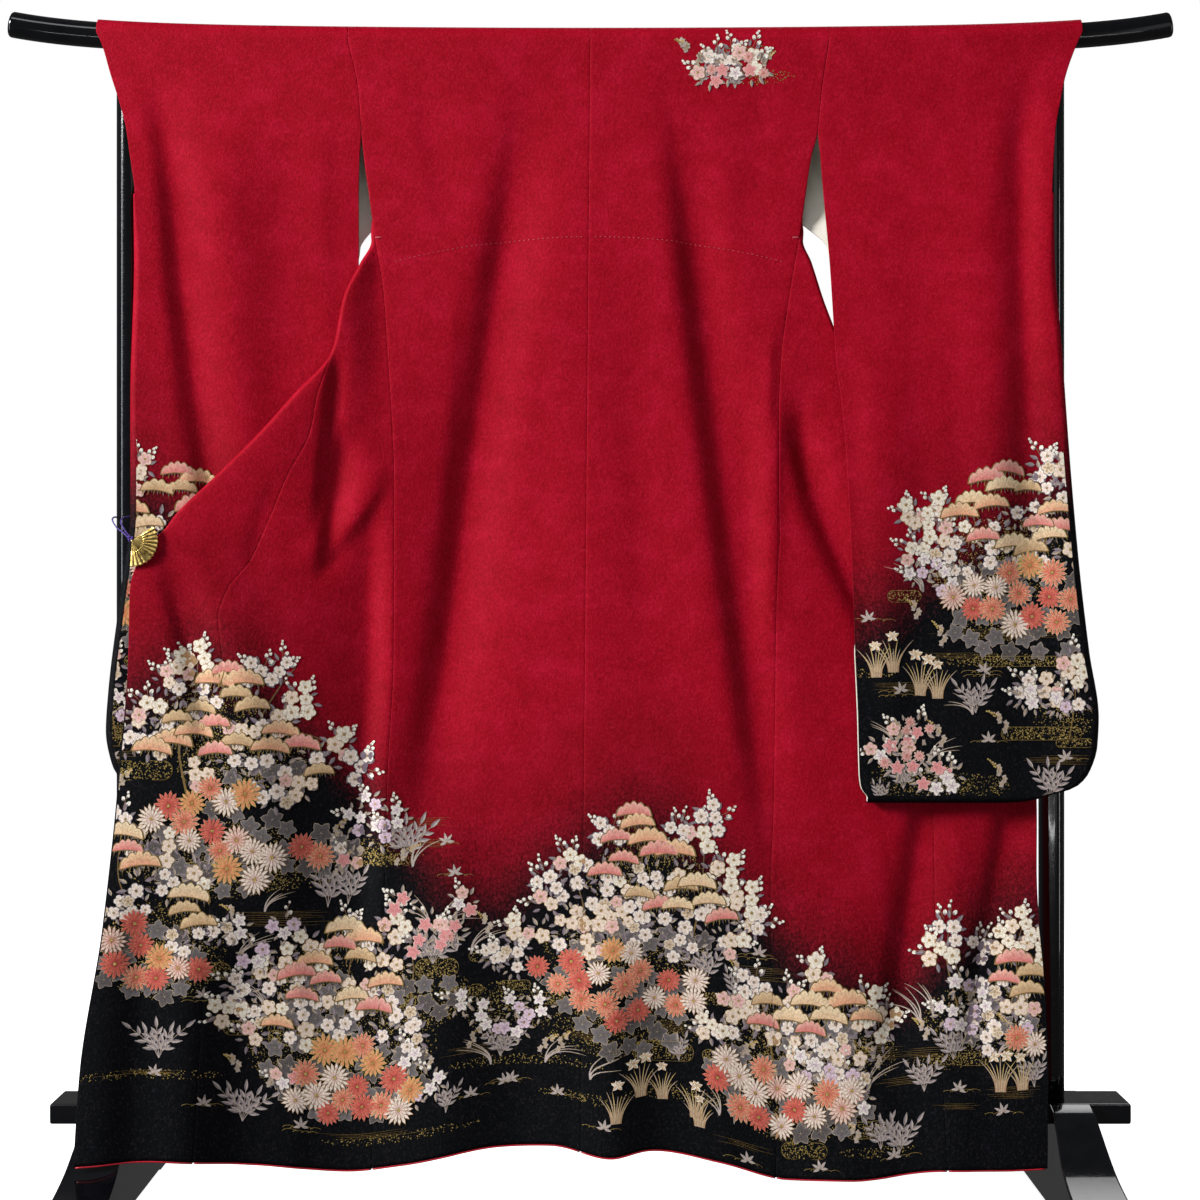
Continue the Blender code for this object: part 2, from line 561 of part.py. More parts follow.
def make_sleeve(name, side, sleeve, front, folds, material):
    """A sleeve: one strip over the pole with the wrist's opening, then a bag open along its inner edge."""
    upper = [WRIST_END] + [height for height in UPPER_ROWS if height > WRIST_END]
    straight = len(upper) - 1
    lower = SLEEVE_ROWS[::-1]

    def half_apart(height):
        return (read(sleeve, "far_out", height) - read(sleeve, "near_out", height)) / 2

    def layer(column, height, far):
        sewn = height >= SLEEVE_SEAM_END
        inner = read(front, "seam", height) if sewn else read(sleeve, "inner", height)
        inner += SEAM_GAP / 2
        outer = read(sleeve, "far_edge" if far else "outer", height)
        tuck = ease((WRIST_END + SLEEVE_TUCK - height) / SLEEVE_TUCK)
        outer -= tuck * half_apart(WRIST_END if height > WRIST_END else height)
        share = column / SLEEVE_COLUMNS
        x = side * (inner + (outer - inner) * share)
        near_or_far = "far" if far else "near"
        at_inner = read(sleeve, near_or_far + "_in", height)
        at_outer = read(sleeve, near_or_far + "_out", height)
        depth = at_inner + (at_outer - at_inner) * share
        in_field = ease(share / SLEEVE_FOLD_END) * ease((1 - share) / SLEEVE_FOLD_END)
        fold = fold_depth(folds, x, height) * in_field
        return placed(x, depth + fold, height)

    def strip(column, row):
        if row <= straight:
            return layer(column, upper[row], False)
        if row >= straight + WRAP_STEPS:
            return layer(column, upper[2 * straight + WRAP_STEPS - row], True)
        x = layer(column, POLE_HEIGHT, False)[0]
        return over_pole(x, math.pi * (row - straight) / WRAP_STEPS)

    def turned(step, height):
        """Point on the half round that joins the layers at the outer edge."""
        near = np.array(layer(SLEEVE_COLUMNS, height, False))
        far = np.array(layer(SLEEVE_COLUMNS, height, True))
        angle = math.pi * step / TURN_STEPS
        radius = np.linalg.norm(far - near) / 2
        middle = (near + far) / 2 + (near - far) / 2 * math.cos(angle)
        return middle + np.array([side * radius * math.sin(angle), 0, 0])

    def bag(column, row):
        height = lower[row]
        if column <= SLEEVE_COLUMNS:
            return layer(column, height, False)
        if column < SLEEVE_COLUMNS + TURN_STEPS:
            return turned(column - SLEEVE_COLUMNS, height)
        return layer(2 * SLEEVE_COLUMNS + TURN_STEPS - column, height, True)

    def bottom(column, row):
        """The closed lower edge, a half round from the near layer to the far one."""
        height = SLEEVE_ROWS[0]
        near = np.array(layer(column, height, False))
        far = np.array(layer(column, height, True))
        angle = math.pi * row / TURN_STEPS
        radius = np.linalg.norm(far - near) / 2
        middle = (near + far) / 2 + (near - far) / 2 * math.cos(angle)
        outward = math.pi / 2 * (column / SLEEVE_COLUMNS) ** 8
        way = np.array([side * math.sin(outward), 0, -math.cos(outward)])
        return middle + way * radius * math.sin(angle)

    bm = bmesh.new()
    map_grid(bm, SLEEVE_COLUMNS, 2 * straight + WRAP_STEPS, strip)
    map_grid(bm, 2 * SLEEVE_COLUMNS + TURN_STEPS, len(lower) - 1, bag)
    map_grid(bm, SLEEVE_COLUMNS, TURN_STEPS, bottom)
    return wall_from(name, bm, material)


def poly_curve(name, points, radius, sides_resolution, shares=None):
    """A tube along a list of points, with filled caps: shares scales its radius at each point."""
    curve = bpy.data.curves.new(name, "CURVE")
    curve.dimensions = "3D"
    curve.bevel_depth = radius
    curve.bevel_resolution = sides_resolution
    curve.use_fill_caps = True
    spline = curve.splines.new("POLY")
    spline.points.add(len(points) - 1)
    for i, point in enumerate(points):
        spline.points[i].co = (*point, 1.0)
        spline.points[i].radius = 1.0 if shares is None else shares[i]
    return curve


def add_curve(name, curve, material, collection):
    curve.materials.append(material)
    obj = bpy.data.objects.new(name, curve)
    collection.objects.link(obj)
    return obj


def pole_points():
    """Axis of the pole, and the share of its radius at each point: full but for the rounded tips."""
    half = POLE_HALF * POLE_STATIONS
    xs = np.concatenate([-half[::-1], half[1:]])
    shares = np.ones(len(xs))
    shares[[0, -1]] = POLE_TIP_SHARE
    return [(x, 0.0, POLE_HEIGHT + pole_rise(x)) for x in xs], shares


def make_pole(material):
    points, shares = pole_points()
    return add_curve("pole", poly_curve("pole", points, POLE_RADIUS, 6, shares), material, parts)


def make_pole_cutter():
    """A slightly fatter copy of the pole, as a closed mesh, which shapes the posts' tops."""
    points, shares = pole_points()
    curve = poly_curve("pole_cutter_curve", points, POLE_RADIUS + JOINT_GAP, 6, shares)
    guide = bpy.data.objects.new("pole_cutter_curve", curve)
    cutters.objects.link(guide)
    bpy.context.view_layer.update()
    evaluated = guide.evaluated_get(bpy.context.evaluated_depsgraph_get())
    mesh = bpy.data.meshes.new_from_object(evaluated)
    bm = bmesh.new()
    bm.from_mesh(mesh)
    bmesh.ops.remove_doubles(bm, verts=bm.verts, dist=0.00001)
    bmesh.ops.recalc_face_normals(bm, faces=bm.faces)
    bm.to_mesh(mesh)
    bm.free()
    cutter = bpy.data.objects.new("pole_cutter", mesh)
    cutter.matrix_world = guide.matrix_world
    bpy.data.objects.remove(guide)
    cutters.objects.link(cutter)
    cutter.hide_render = True
    cutter.display_type = "WIRE"
    return cutter


def make_post(name, side, cutter, material):
    """A round post from the board up to the pole, coped to the pole's underside."""
    bottom = BOARD_TOP + JOINT_GAP
    top = POLE_HEIGHT + pole_rise(POST_X)
    bm = bmesh.new()
    bmesh.ops.create_cone(bm, cap_ends=True, segments=24, radius1=POST_RADIUS, radius2=POST_RADIUS,
                          depth=top - bottom)
    mesh = bpy.data.meshes.new(name)
    bm.to_mesh(mesh)
    bm.free()
    post = add_object(name, mesh, material)
    post.location = (side * POST_X, 0.0, (top + bottom) / 2)
    cut = post.modifiers.new("Coped top", "BOOLEAN")
    cut.operation = "DIFFERENCE"
    cut.object = cutter
    return post


def make_board(material):
    bm = bmesh.new()
    bmesh.ops.create_cube(bm, size=1.0)
    size = (2 * BOARD_HALF_LENGTH, 2 * BOARD_HALF_DEPTH, BOARD_TOP - BOARD_BOTTOM)
    bmesh.ops.scale(bm, verts=bm.verts, vec=size)
    mesh = bpy.data.meshes.new("base_board")
    bm.to_mesh(mesh)
    bm.free()
    board = add_object("base_board", mesh, material)
    board.location = (0.0, 0.0, (BOARD_TOP + BOARD_BOTTOM) / 2)
    edge = board.modifiers.new("Soft edges", "BEVEL")
    edge.width = 0.002
    edge.segments = 2
    return board


def make_foot(name, side, material):
    """A foot with a notch for the board in its crown, sloping down to a toe at the front and the back."""
    notch = BOARD_HALF_DEPTH + JOINT_GAP
    recess = FOOT_HALF - FOOT_PAD
    half = [(notch, BOARD_BOTTOM - JOINT_GAP)]
    half += list(zip(FOOT_TOP["reach"], FOOT_TOP["height"]))
    half += [(FOOT_HALF, 0.0), (recess, 0.0), (recess - FOOT_RECESS, FOOT_RECESS)]
    outline = half + [(-reach, height) for reach, height in reversed(half)]
    bm = bmesh.new()
    verts = [bm.verts.new((side * FOOT_INNER_X, y, z)) for y, z in outline]
    face = bm.faces.new(verts)
    outer = bmesh.ops.extrude_face_region(bm, geom=[face])
    for vert in outer["geom"]:
        if isinstance(vert, bmesh.types.BMVert):
            flare = FOOT_FLARE * (1 - vert.co.z / BOARD_TOP)
            vert.co.x = side * (FOOT_CROWN_X + flare)
    bmesh.ops.recalc_face_normals(bm, faces=bm.faces)
    mesh = bpy.data.meshes.new(name)
    bm.to_mesh(mesh)
    bm.free()
    return add_object(name, mesh, material)


def make_fan_clip(material):
    """The clip's ornament: a small folding fan, pleated like a real one."""
    pivot_x, pivot_z = FAN_PIVOT

    def place(column, row):
        angle = math.radians(FAN_FIRST_ANGLE + (FAN_LAST_ANGLE - FAN_FIRST_ANGLE) * column / (2 * FAN_RIBS))
        radius = FAN_HUB + (FAN_RADIUS - FAN_HUB) * row / FAN_RINGS
        pleat = FAN_PLEAT * (1 if column % 2 else -1) * radius / FAN_RADIUS
        return (pivot_x + radius * math.cos(angle), FAN_DEPTH + pleat, pivot_z + radius * math.sin(angle))

    return sheet("fan_clip", 2 * FAN_RIBS, FAN_RINGS, place, material, FAN_THICKNESS)


def make_clip_jaw(material):
    """The spring behind the fan: from its hub back past the cloth's corner, then in against the cloth."""
    pivot_x, pivot_z = FAN_PIVOT
    way = math.radians(JAW_ANGLE)
    hub = FAN_DEPTH + FAN_THICKNESS / 2 + JAW_RADIUS + 2 * JOINT_GAP
    points = [(pivot_x + reach * math.cos(way), hub + depth, pivot_z + reach * math.sin(way))
              for reach, depth in JAW_PATH]
    return add_curve("clip_jaw", poly_curve("clip_jaw", points, JAW_RADIUS, 2), material, parts)


def make_knot(material):
    bm = bmesh.new()
    bmesh.ops.create_uvsphere(bm, u_segments=12, v_segments=8, radius=KNOT_RADIUS)
    mesh = bpy.data.meshes.new("cord_knot")
    bm.to_mesh(mesh)
    bm.free()
    knot = add_object("cord_knot", mesh, material)
    knot.location = KNOT
    return knot


def make_cord(material):
    """The cord from the knot round the left post and back to the knot, through points set by hand."""
    ring = [(-POST_X + CORD_LOOP * math.cos(math.radians(angle)),
             CORD_LOOP * math.sin(math.radians(angle)), CORD_HEIGHT) for angle in range(200, -61, -20)]
    points = CORD_OUT + ring + CORD_BACK
    return add_curve("clip_cord", poly_curve("clip_cord", points, CORD_RADIUS, 2), material, parts)


def remove_everything():
    for obj in list(bpy.data.objects):
        bpy.data.objects.remove(obj, do_unlink=True)


remove_everything()
parts = bpy.data.collections.new("Furisode and kimono stand")
bpy.context.scene.collection.children.link(parts)
cutters = bpy.data.collections.new("Cutters")
bpy.context.scene.collection.children.link(cutters)

# The stand
lacquer = principled("Black lacquer", (0.006, 0.006, 0.007), 0.12)
make_pole(lacquer)
pole_cutter = make_pole_cutter()
make_board(lacquer)
for side_name, side in (("left", -1), ("right", 1)):
    make_post("post_" + side_name, side, pole_cutter, lacquer)
    make_foot("foot_" + side_name, side, lacquer)

# The clip
gold = principled("Gold clip", (0.62, 0.42, 0.13), 0.32, 1.0)
purple = principled("Purple cord", (0.09, 0.02, 0.22), 0.6)
make_fan_clip(gold)
make_clip_jaw(gold)
make_knot(purple)
make_cord(purple)

# The furisode
crepe = principled("Red crepe", (0.36, 0.004, 0.022), 0.7)
make_back("back_left", -1, LEFT_FRONT, crepe)
make_back("back_right", 1, RIGHT_FRONT, crepe)
make_front("front_left", -1, LEFT_FRONT, LEFT_FOLDS, crepe)
make_front("front_right", 1, RIGHT_FRONT, RIGHT_FOLDS, crepe)
make_okumi("okumi_left", -1, LEFT_FRONT, LEFT_FOLDS, crepe)
make_okumi("okumi_right", 1, RIGHT_FRONT, RIGHT_FOLDS, crepe)
make_collar("collar", crepe)
make_sleeve("sleeve_left", -1, LEFT_SLEEVE, LEFT_FRONT, LEFT_SLEEVE_FOLDS, crepe)
make_sleeve("sleeve_right", 1, RIGHT_SLEEVE, RIGHT_FRONT, RIGHT_SLEEVE_FOLDS, crepe)
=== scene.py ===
# %% [markdown]
# A furisode, the long-sleeved kimono of a young woman's formal dress, hangs from a black lacquered
# stand with its back to the camera. Both fronts are drawn out sideways, so that the dyed garden
# along the hem reads as one picture. We build the cloth as sheets worked out with numpy, then dye
# and paint them, and finish with the lacquer, the small gold clip and the light.

# %% The frame
import math

import bpy
import numpy as np
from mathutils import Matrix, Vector


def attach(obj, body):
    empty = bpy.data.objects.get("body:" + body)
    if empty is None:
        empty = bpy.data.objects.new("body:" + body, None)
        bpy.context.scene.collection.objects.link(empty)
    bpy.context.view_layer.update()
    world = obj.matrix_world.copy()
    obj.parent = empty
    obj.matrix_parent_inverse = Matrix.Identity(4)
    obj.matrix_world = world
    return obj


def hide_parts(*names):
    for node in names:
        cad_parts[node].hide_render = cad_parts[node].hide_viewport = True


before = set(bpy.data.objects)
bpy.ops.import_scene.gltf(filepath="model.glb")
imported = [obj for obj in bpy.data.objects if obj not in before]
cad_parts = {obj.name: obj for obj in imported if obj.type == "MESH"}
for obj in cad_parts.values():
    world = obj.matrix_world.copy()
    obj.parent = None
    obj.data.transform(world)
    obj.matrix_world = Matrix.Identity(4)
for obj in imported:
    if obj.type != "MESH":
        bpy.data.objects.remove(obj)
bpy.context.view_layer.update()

# %% [markdown]
# The photograph was taken straight on, from far enough away that the posts stay parallel. A long
# lens at 3.7 m gives the same flat look.

# %% Camera
CAMERA_PLACE = (0.0133, -3.7, 0.841)
CAMERA_LENS = 79.3

camera_data = bpy.data.cameras.new("Camera")
camera_data.lens = CAMERA_LENS
camera_data.sensor_width = 36.0
camera = bpy.data.objects.new("Camera", camera_data)
camera.location = CAMERA_PLACE
camera.rotation_euler = (math.pi / 2, 0.0, 0.0)
bpy.context.scene.collection.objects.link(camera)
bpy.context.scene.camera = camera
print("camera at", CAMERA_PLACE)

# %% [markdown]
# Every piece below is a grid or a row of rings. One helper turns an array of points and an array of
# faces into a mesh object, and another closes a row of rings into a tube with a point at each end.

# %% Meshes from arrays
UP = (0.0, 0.0, 1.0)


def stacked(*parts):
    """Points from an array or a number for each of x, y and z, spread to one shape."""
    return np.stack(np.broadcast_arrays(*parts), axis=-1)


def polar(radius, angle):
    """Flat points (radius cos angle, radius sin angle)."""
    return stacked(radius * np.cos(angle), radius * np.sin(angle))


def unit(vectors):
    """Each vector over its length."""
    return vectors / (np.linalg.norm(vectors, axis=-1, keepdims=True) + 1e-12)


def add_mesh(name, points, faces, materials):
    """A smooth object at the origin from points (n, 3) and faces, each a row of point numbers."""
    mesh = bpy.data.meshes.new(name)
    mesh.from_pydata(np.asarray(points, float).reshape(-1, 3).tolist(), [], np.asarray(faces).tolist())
    for material in materials:
        mesh.materials.append(material)
    mesh.shade_smooth()
    obj = bpy.data.objects.new(name, mesh)
    bpy.context.scene.collection.objects.link(obj)
    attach(obj, "root")
    return obj


def grid_faces(rows, columns, closed=False):
    """Quads of a grid, as numbers of its points. A closed grid joins its last column to its first."""
    index = np.arange(rows * columns).reshape(rows, columns)
    right = np.roll(index, -1, axis=1)
    quads = stacked(index[:-1], right[:-1], right[1:], index[1:])
    return (quads if closed else quads[:, :-1]).reshape(-1, 4)


def tube_parts(rings):
    """Points and triangles of a closed tube: rings (n, m, 3) in a row, and a middle point for each end."""
    count, around = rings.shape[:2]
    points = np.concatenate([rings.reshape(-1, 3), rings[[0, -1]].mean(axis=1)])
    quads = grid_faces(count, around, closed=True)
    first = np.arange(around)
    last = first + (count - 1) * around
    start_cap = stacked(count * around, np.roll(first, -1), first)
    end_cap = stacked(count * around + 1, last, np.roll(last, -1))
    return points, np.concatenate([quads[:, [0, 1, 2]], quads[:, [0, 2, 3]], start_cap, end_cap])


def across_path(path, up):
    """Two units square to a path: across is its way times up, and over is across times its way."""
    way = unit(np.gradient(path, axis=0))
    across = unit(np.cross(way, up))
    return across, np.cross(across, way)


def rings_along(path, radius, around, up=UP):
    """Circles carried along a path: point + radius (cos a across - sin a over), where a goes round."""
    path = np.asarray(path, float)
    across, over = across_path(path, up)
    angle = np.linspace(0, 2 * np.pi, around, endpoint=False)[None, :, None]
    size = np.broadcast_to(radius, len(path))[:, None, None]
    return path[:, None] + size * (np.cos(angle) * across[:, None] - np.sin(angle) * over[:, None])


def merge_parts(parts):
    """Several (points, faces) in one, with the numbers in the faces moved on."""
    points, faces = zip(*parts)
    starts = np.cumsum([0] + [len(part) for part in points[:-1]])
    return np.concatenate(points), np.concatenate([part + start for part, start in zip(faces, starts)])


def smooth_path(points, steps):
    """A Catmull-Rom curve: between two points it is a cubic whose slopes come from their neighbours."""
    points = np.asarray(points, float)
    padded = np.concatenate([2 * points[:1] - points[1:2], points, 2 * points[-1:] - points[-2:-1]])
    a, b, c, d = (padded[i:len(padded) - 3 + i, None] for i in range(4))
    t = (np.arange(steps) / steps)[None, :, None]
    curve = 0.5 * (2 * b + (c - a) * t + (2 * a - 5 * b + 4 * c - d) * t**2
                   + (3 * b - a - 3 * c + d) * t**3)
    return np.concatenate([curve.reshape(-1, points.shape[1]), points[-1:]])


print("mesh helpers ready")

# %% [markdown]
# A shader is a small tree of nodes. These helpers keep each recipe short: one adds a node and fills
# or links its inputs by name, one starts a material around a Principled shader, and one links what
# the recipe has made to that shader.

# %% Materials from recipes
def linear(red, green, blue):
    """A colour as it is written for screens, 0 to 255, in the linear light that shaders use."""
    share = np.array([red, green, blue]) / 255
    return np.where(share <= 0.04045, share / 12.92, ((share + 0.055) / 1.055) ** 2.4)


def paint(red, green, blue):
    """That colour with full cover, as a socket takes it."""
    return (*linear(red, green, blue), 1.0)


def grey(value):
    """A plain number as a ramp's colour, for a roughness."""
    return (value, value, value, 1.0)


def add_node(tree, kind, inputs=None, **settings):
    """A node of this kind: each input gets a link if it is given a socket, and otherwise a value."""
    node = tree.nodes.new("ShaderNode" + kind)
    for name, value in settings.items():
        setattr(node, name, value)
    for name, value in (inputs or {}).items():
        if isinstance(value, bpy.types.NodeSocket):
            tree.links.new(value, node.inputs[name])
        else:
            node.inputs[name].default_value = value
    return node


def new_material(name, sockets):
    """A material whose Principled shader holds these values: what is the same all over is set here."""
    material = bpy.data.materials.new(name)
    material.use_nodes = True
    tree = material.node_tree
    shader = tree.nodes["Principled BSDF"]
    for socket, value in sockets.items():
        shader.inputs[socket].default_value = value
    return material, tree, shader, add_node(tree, "TexCoord").outputs["Object"]


def ramp(tree, factor, stops):
    """A colour ramp through (position, colour) stops."""
    node = add_node(tree, "ValToRGB", {"Fac": factor})
    elements = node.color_ramp.elements
    while len(elements) < len(stops):
        elements.new(0.5)
    for element, (position, colour) in zip(elements, stops):
        element.position = position
        element.color = colour
    return node.outputs["Color"]


def noise(tree, place, scale, detail, roughness, stretch=(1.0, 1.0, 1.0)):
    """Soft noise from 0 to 1, with scale cells to the metre before each axis is stretched."""
    stretched = add_node(tree, "Mapping", {"Vector": place, "Scale": stretch}).outputs["Vector"]
    return add_node(tree, "TexNoise", {"Vector": stretched, "Scale": scale, "Detail": detail,
                                       "Roughness": roughness}).outputs["Fac"]


def calculate(tree, operation, *values):
    """One sum on sockets and numbers."""
    return add_node(tree, "Math", dict(enumerate(values)), operation=operation).outputs[0]


def mix(tree, one, two, factor=1.0, blend="MIX"):
    """Two colours in one: the second is laid over the first by the factor."""
    inputs = {"Factor": factor, 6: one, 7: two}
    return add_node(tree, "Mix", inputs, data_type="RGBA", blend_type=blend).outputs[2]


def dress(tree, shader, colour, height, strength, distance, rough=None):
    """Link the colour, a bump from the height, and a roughness if it varies."""
    bump = add_node(tree, "Bump", {"Height": height, "Strength": strength, "Distance": distance})
    tree.links.new(colour, shader.inputs["Base Color"])
    tree.links.new(bump.outputs["Normal"], shader.inputs["Normal"])
    if rough is not None:
        tree.links.new(rough, shader.inputs["Roughness"])


print("material helpers ready")

# %% [markdown]
# The only cord is the short purple one of the clip. It leaves its knot, passes round the left post
# and comes back to the knot. A real one is two plies twisted together, so we wind two thin tubes
# round the middle line. Winding them is better than a bump, because the outline shows the twist too.

# %% Purple cord
KNOT = (-0.6293, -0.0850, 0.9248)
POST_X = 0.645
CORD_DIAMETER = 0.0024
PLY_RADIUS = 0.00068
PLY_OFFSET = 0.00055
PLY_PITCH = 0.0065
CORD_LOOP = 0.0202
CORD_HEIGHT = 0.957
CORD_OUT = [(-0.6326, -0.0830, 0.9269), (-0.6420, -0.0720, 0.9340), (-0.6530, -0.0560, 0.9410),
            (-0.6620, -0.0360, 0.9500), (-0.6650, -0.0200, 0.9550)]
CORD_BACK = [(-0.6440, -0.0235, 0.9568), (-0.6500, -0.0320, 0.9540), (-0.6490, -0.0450, 0.9480),
             (-0.6420, -0.0620, 0.9390), (-0.6302, -0.0813, 0.9270)]


def silk_cord():
    """Purple twisted silk: fine strands as a noise, whose brightest ones carry a painted highlight, as if the
    light caught them.
    """
    material, tree, shader, place = new_material("Purple silk cord", {
        "Roughness": 0.45, "Sheen Weight": 0.4, "Sheen Roughness": 0.4, "Specular IOR Level": 0.4})
    strands = noise(tree, place, 1400.0, 3.0, 0.6)
    # Painted highlight: the ramp's pale lavender top stands for strands that catch the light.
    colour = ramp(tree, strands, [(0.3, paint(34, 12, 92)), (0.6, paint(72, 34, 150)),
                                  (0.8, paint(120, 86, 190))])
    dress(tree, shader, colour, strands, 0.5, 0.0002)
    return material


def ply(start):
    """One ply: a tube whose middle winds round the cord's line, one turn for each pitch."""
    across, over = across_path(cord_line, UP)
    angle = (start + 2 * np.pi * cord_run / PLY_PITCH)[:, None]
    middle = cord_line + PLY_OFFSET * (np.cos(angle) * across + np.sin(angle) * over)
    return tube_parts(rings_along(middle, PLY_RADIUS, 10))


cord_silk = silk_cord()
ring_angles = np.radians(np.arange(200, -61, -20))
cord_ring = stacked(-POST_X + CORD_LOOP * np.cos(ring_angles), CORD_LOOP * np.sin(ring_angles), CORD_HEIGHT)
cord_line = smooth_path(np.concatenate([CORD_OUT, cord_ring, CORD_BACK]), 10)
cord_run = np.concatenate([[0.0], np.cumsum(np.linalg.norm(np.diff(cord_line, axis=0), axis=1))])
cord = add_mesh("purple_cord", *merge_parts([ply(0.0), ply(np.pi)]), [cord_silk])
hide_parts("clip_cord")
print(f"cord {cord_run[-1] * 1000:.0f} mm long")

# %% [markdown]
# The knot is a trefoil: the same cord wound three times round a small ring while it rises and falls.

# %% Knot
KNOT_SIZE = 0.00115
KNOT_RADIUS = CORD_DIAMETER * 0.52

turn = np.linspace(0, 2 * np.pi, 90, endpoint=False)
trefoil = stacked(np.sin(turn) + 2 * np.sin(2 * turn), -np.sin(3 * turn), np.cos(turn) - 2 * np.cos(2 * turn))
trefoil = trefoil * KNOT_SIZE + KNOT
trefoil = np.concatenate([trefoil, trefoil[:1]])
knot_rings = rings_along(trefoil, KNOT_RADIUS, 12, (0.1, 1.0, 0.05))
knot = add_mesh("tied_knot", *tube_parts(knot_rings), [cord_silk])
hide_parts("cord_knot")
print("knot tied at", KNOT)

# %% [markdown]
# The cloth hangs as a maker's flat pieces would, so we describe it by a plan. Across the plan we
# measure along the cloth, from the centre back seam out to the front edge, and up it we measure the
# height. Its tables are written in millimetres. They give the depth of the cloth at a few heights
# and the line of the hem. For each front they give the side seam, how far the front is drawn out
# beyond it, where its two panels end, the roll of its fold, and how deep that fold hangs. The left
# side is -1 and the right side is 1.

# %% The plan of the body
WALL = 0.002
SEAM_GAP = 0.0004
POLE_RADIUS = 0.018
POLE_HALF = 0.812
POLE_HEIGHT = 1.620
HANG_RADIUS = POLE_RADIUS + 0.0028
HEM = 0.070
SIDE_SEAM_TOP = 1.343
FRONT_TURN_TOP = 1.420
OKUMI_TOP = 1.400
COLLAR_WIDTH = 0.058
COLLAR_FOOT = 0.965
NECK_HALF = 0.092
NECK_CORNER = 0.070
SIDES = {-1: "left", 1: "right"}
FRONT_COLUMNS = "height seam fold okumi edge roll outer"


def table(names, text):
    """Columns in metres, each under its name, from rows in millimetres that commas part."""
    rows = [row.split() for row in text.split(",")]
    return dict(zip(names.split(), np.array(rows, float).T / 1000))


LEAN = table("height depth", """
    1620 -20.8, 1490 -24, 1343 -30, 1000 -40, 600 -56, 145 -74, 70 -78""")
FAR = table("height depth", """
    1620 20.8, 1560 20.6, 1490 16, 1440 10, 1390 -6, 1343 -30""")
BEHIND = table("height depth", """
    1620 0, 1490 2, 1400 12, 1343 16, 1200 20, 1000 16, 930 10""")
HEM_LINE = table("x lift", """
    640 67, 562 63, 480 62, 356 48, 274 48, 178 71, 82 87, 27 78, -55 94, -124 92, -260 68, -328 60,
    -448 72, -605 85, -700 81""")
FRONT = {-1: table(FRONT_COLUMNS, """
    1620 338 6 246 246 5 -30, 1551 323 6 231 231 5 -30, 1490 318.5 6 226.5 226.5 5 -30,
    1440 313 6 222 222 5 -30, 1400 307 6 212 220 5 -30, 1343 299 6 175 223 5 -30,
    1307 292.5 27.5 148 248 5 -40, 1263 286.5 54.5 118 274 5 -46, 1183 281 78 80 292 6 -52,
    1122 277 135 100 304 7.5 -60, 1071 274 183 113 316 7.5 -65, 1011 272 244 146 322 6 -70,
    960 272 296 167 325 4 -75, 930 272 320 180 326.5 3 -78, 895 272 420 196 347 3 -80,
    856 272 600 226 358 3 -83, 818 272 600 238 358.5 3 -86, 750 272.5 600 231 359 3 -90,
    600 280 600 229 362 3 -104, 400 284 600 235 375 3 -128, 195 295 600 235 391 3 -150,
    70 299 600 237 393 3 -162"""),
         1: table(FRONT_COLUMNS, """
    1620 332.5 6 240.5 240.5 5 -30, 1551 322 6 230 230 5 -30, 1490 316 6 224 224 5 -30,
    1457 307.5 6 216 216 5 -30, 1400 298.5 6 203.5 211.5 5 -30, 1343 290 6 168 214 5 -30,
    1310 284 23.5 128 236 5 -32, 1243 273 56.5 88 272 5 -34, 1174 264.5 96 93 298 6 -36,
    1090 261 168 118 318 7 -38, 1007 261 251 160 328 6 -39, 930 262 320 193 335 3 -40,
    895 260 420 204 346 3 -41, 813 257 600 213 356 3 -42, 560 253 600 221 364 3 -50,
    430 248 600 226.5 368 3 -60, 320 250 600 225.5 374 3 -72, 195 255 600 227.5 372 3 -85,
    120 255.5 600 230 369 3 -92, 70 254.5 600 233.5 369 3 -96""")}
print("half back at the hem", FRONT[-1]["seam"][-1], "m")

# %% [markdown]
# The sleeves need their own table. Each is one strip over the pole, so at every height it has a near
# layer and a far layer, and below the armhole both layers hang apart like a shallow bag.

# %% The plan of the sleeves
SLEEVE_SEAM_END = 1.490
WRIST_END = 1.400
SLEEVE_TUCK = 0.050
SLEEVE_FOLD_END = 0.15
ARMHOLE_TUCK = 0.008
ARMHOLE_FOOT = 1.330
STRIP_TOP = 0.765
STRIP_WIDTH = 0.004
SLEEVE_FOOT = 0.571
SLEEVE_COLUMNS = "height inner outer near_in near_out far_in far_out far_edge"

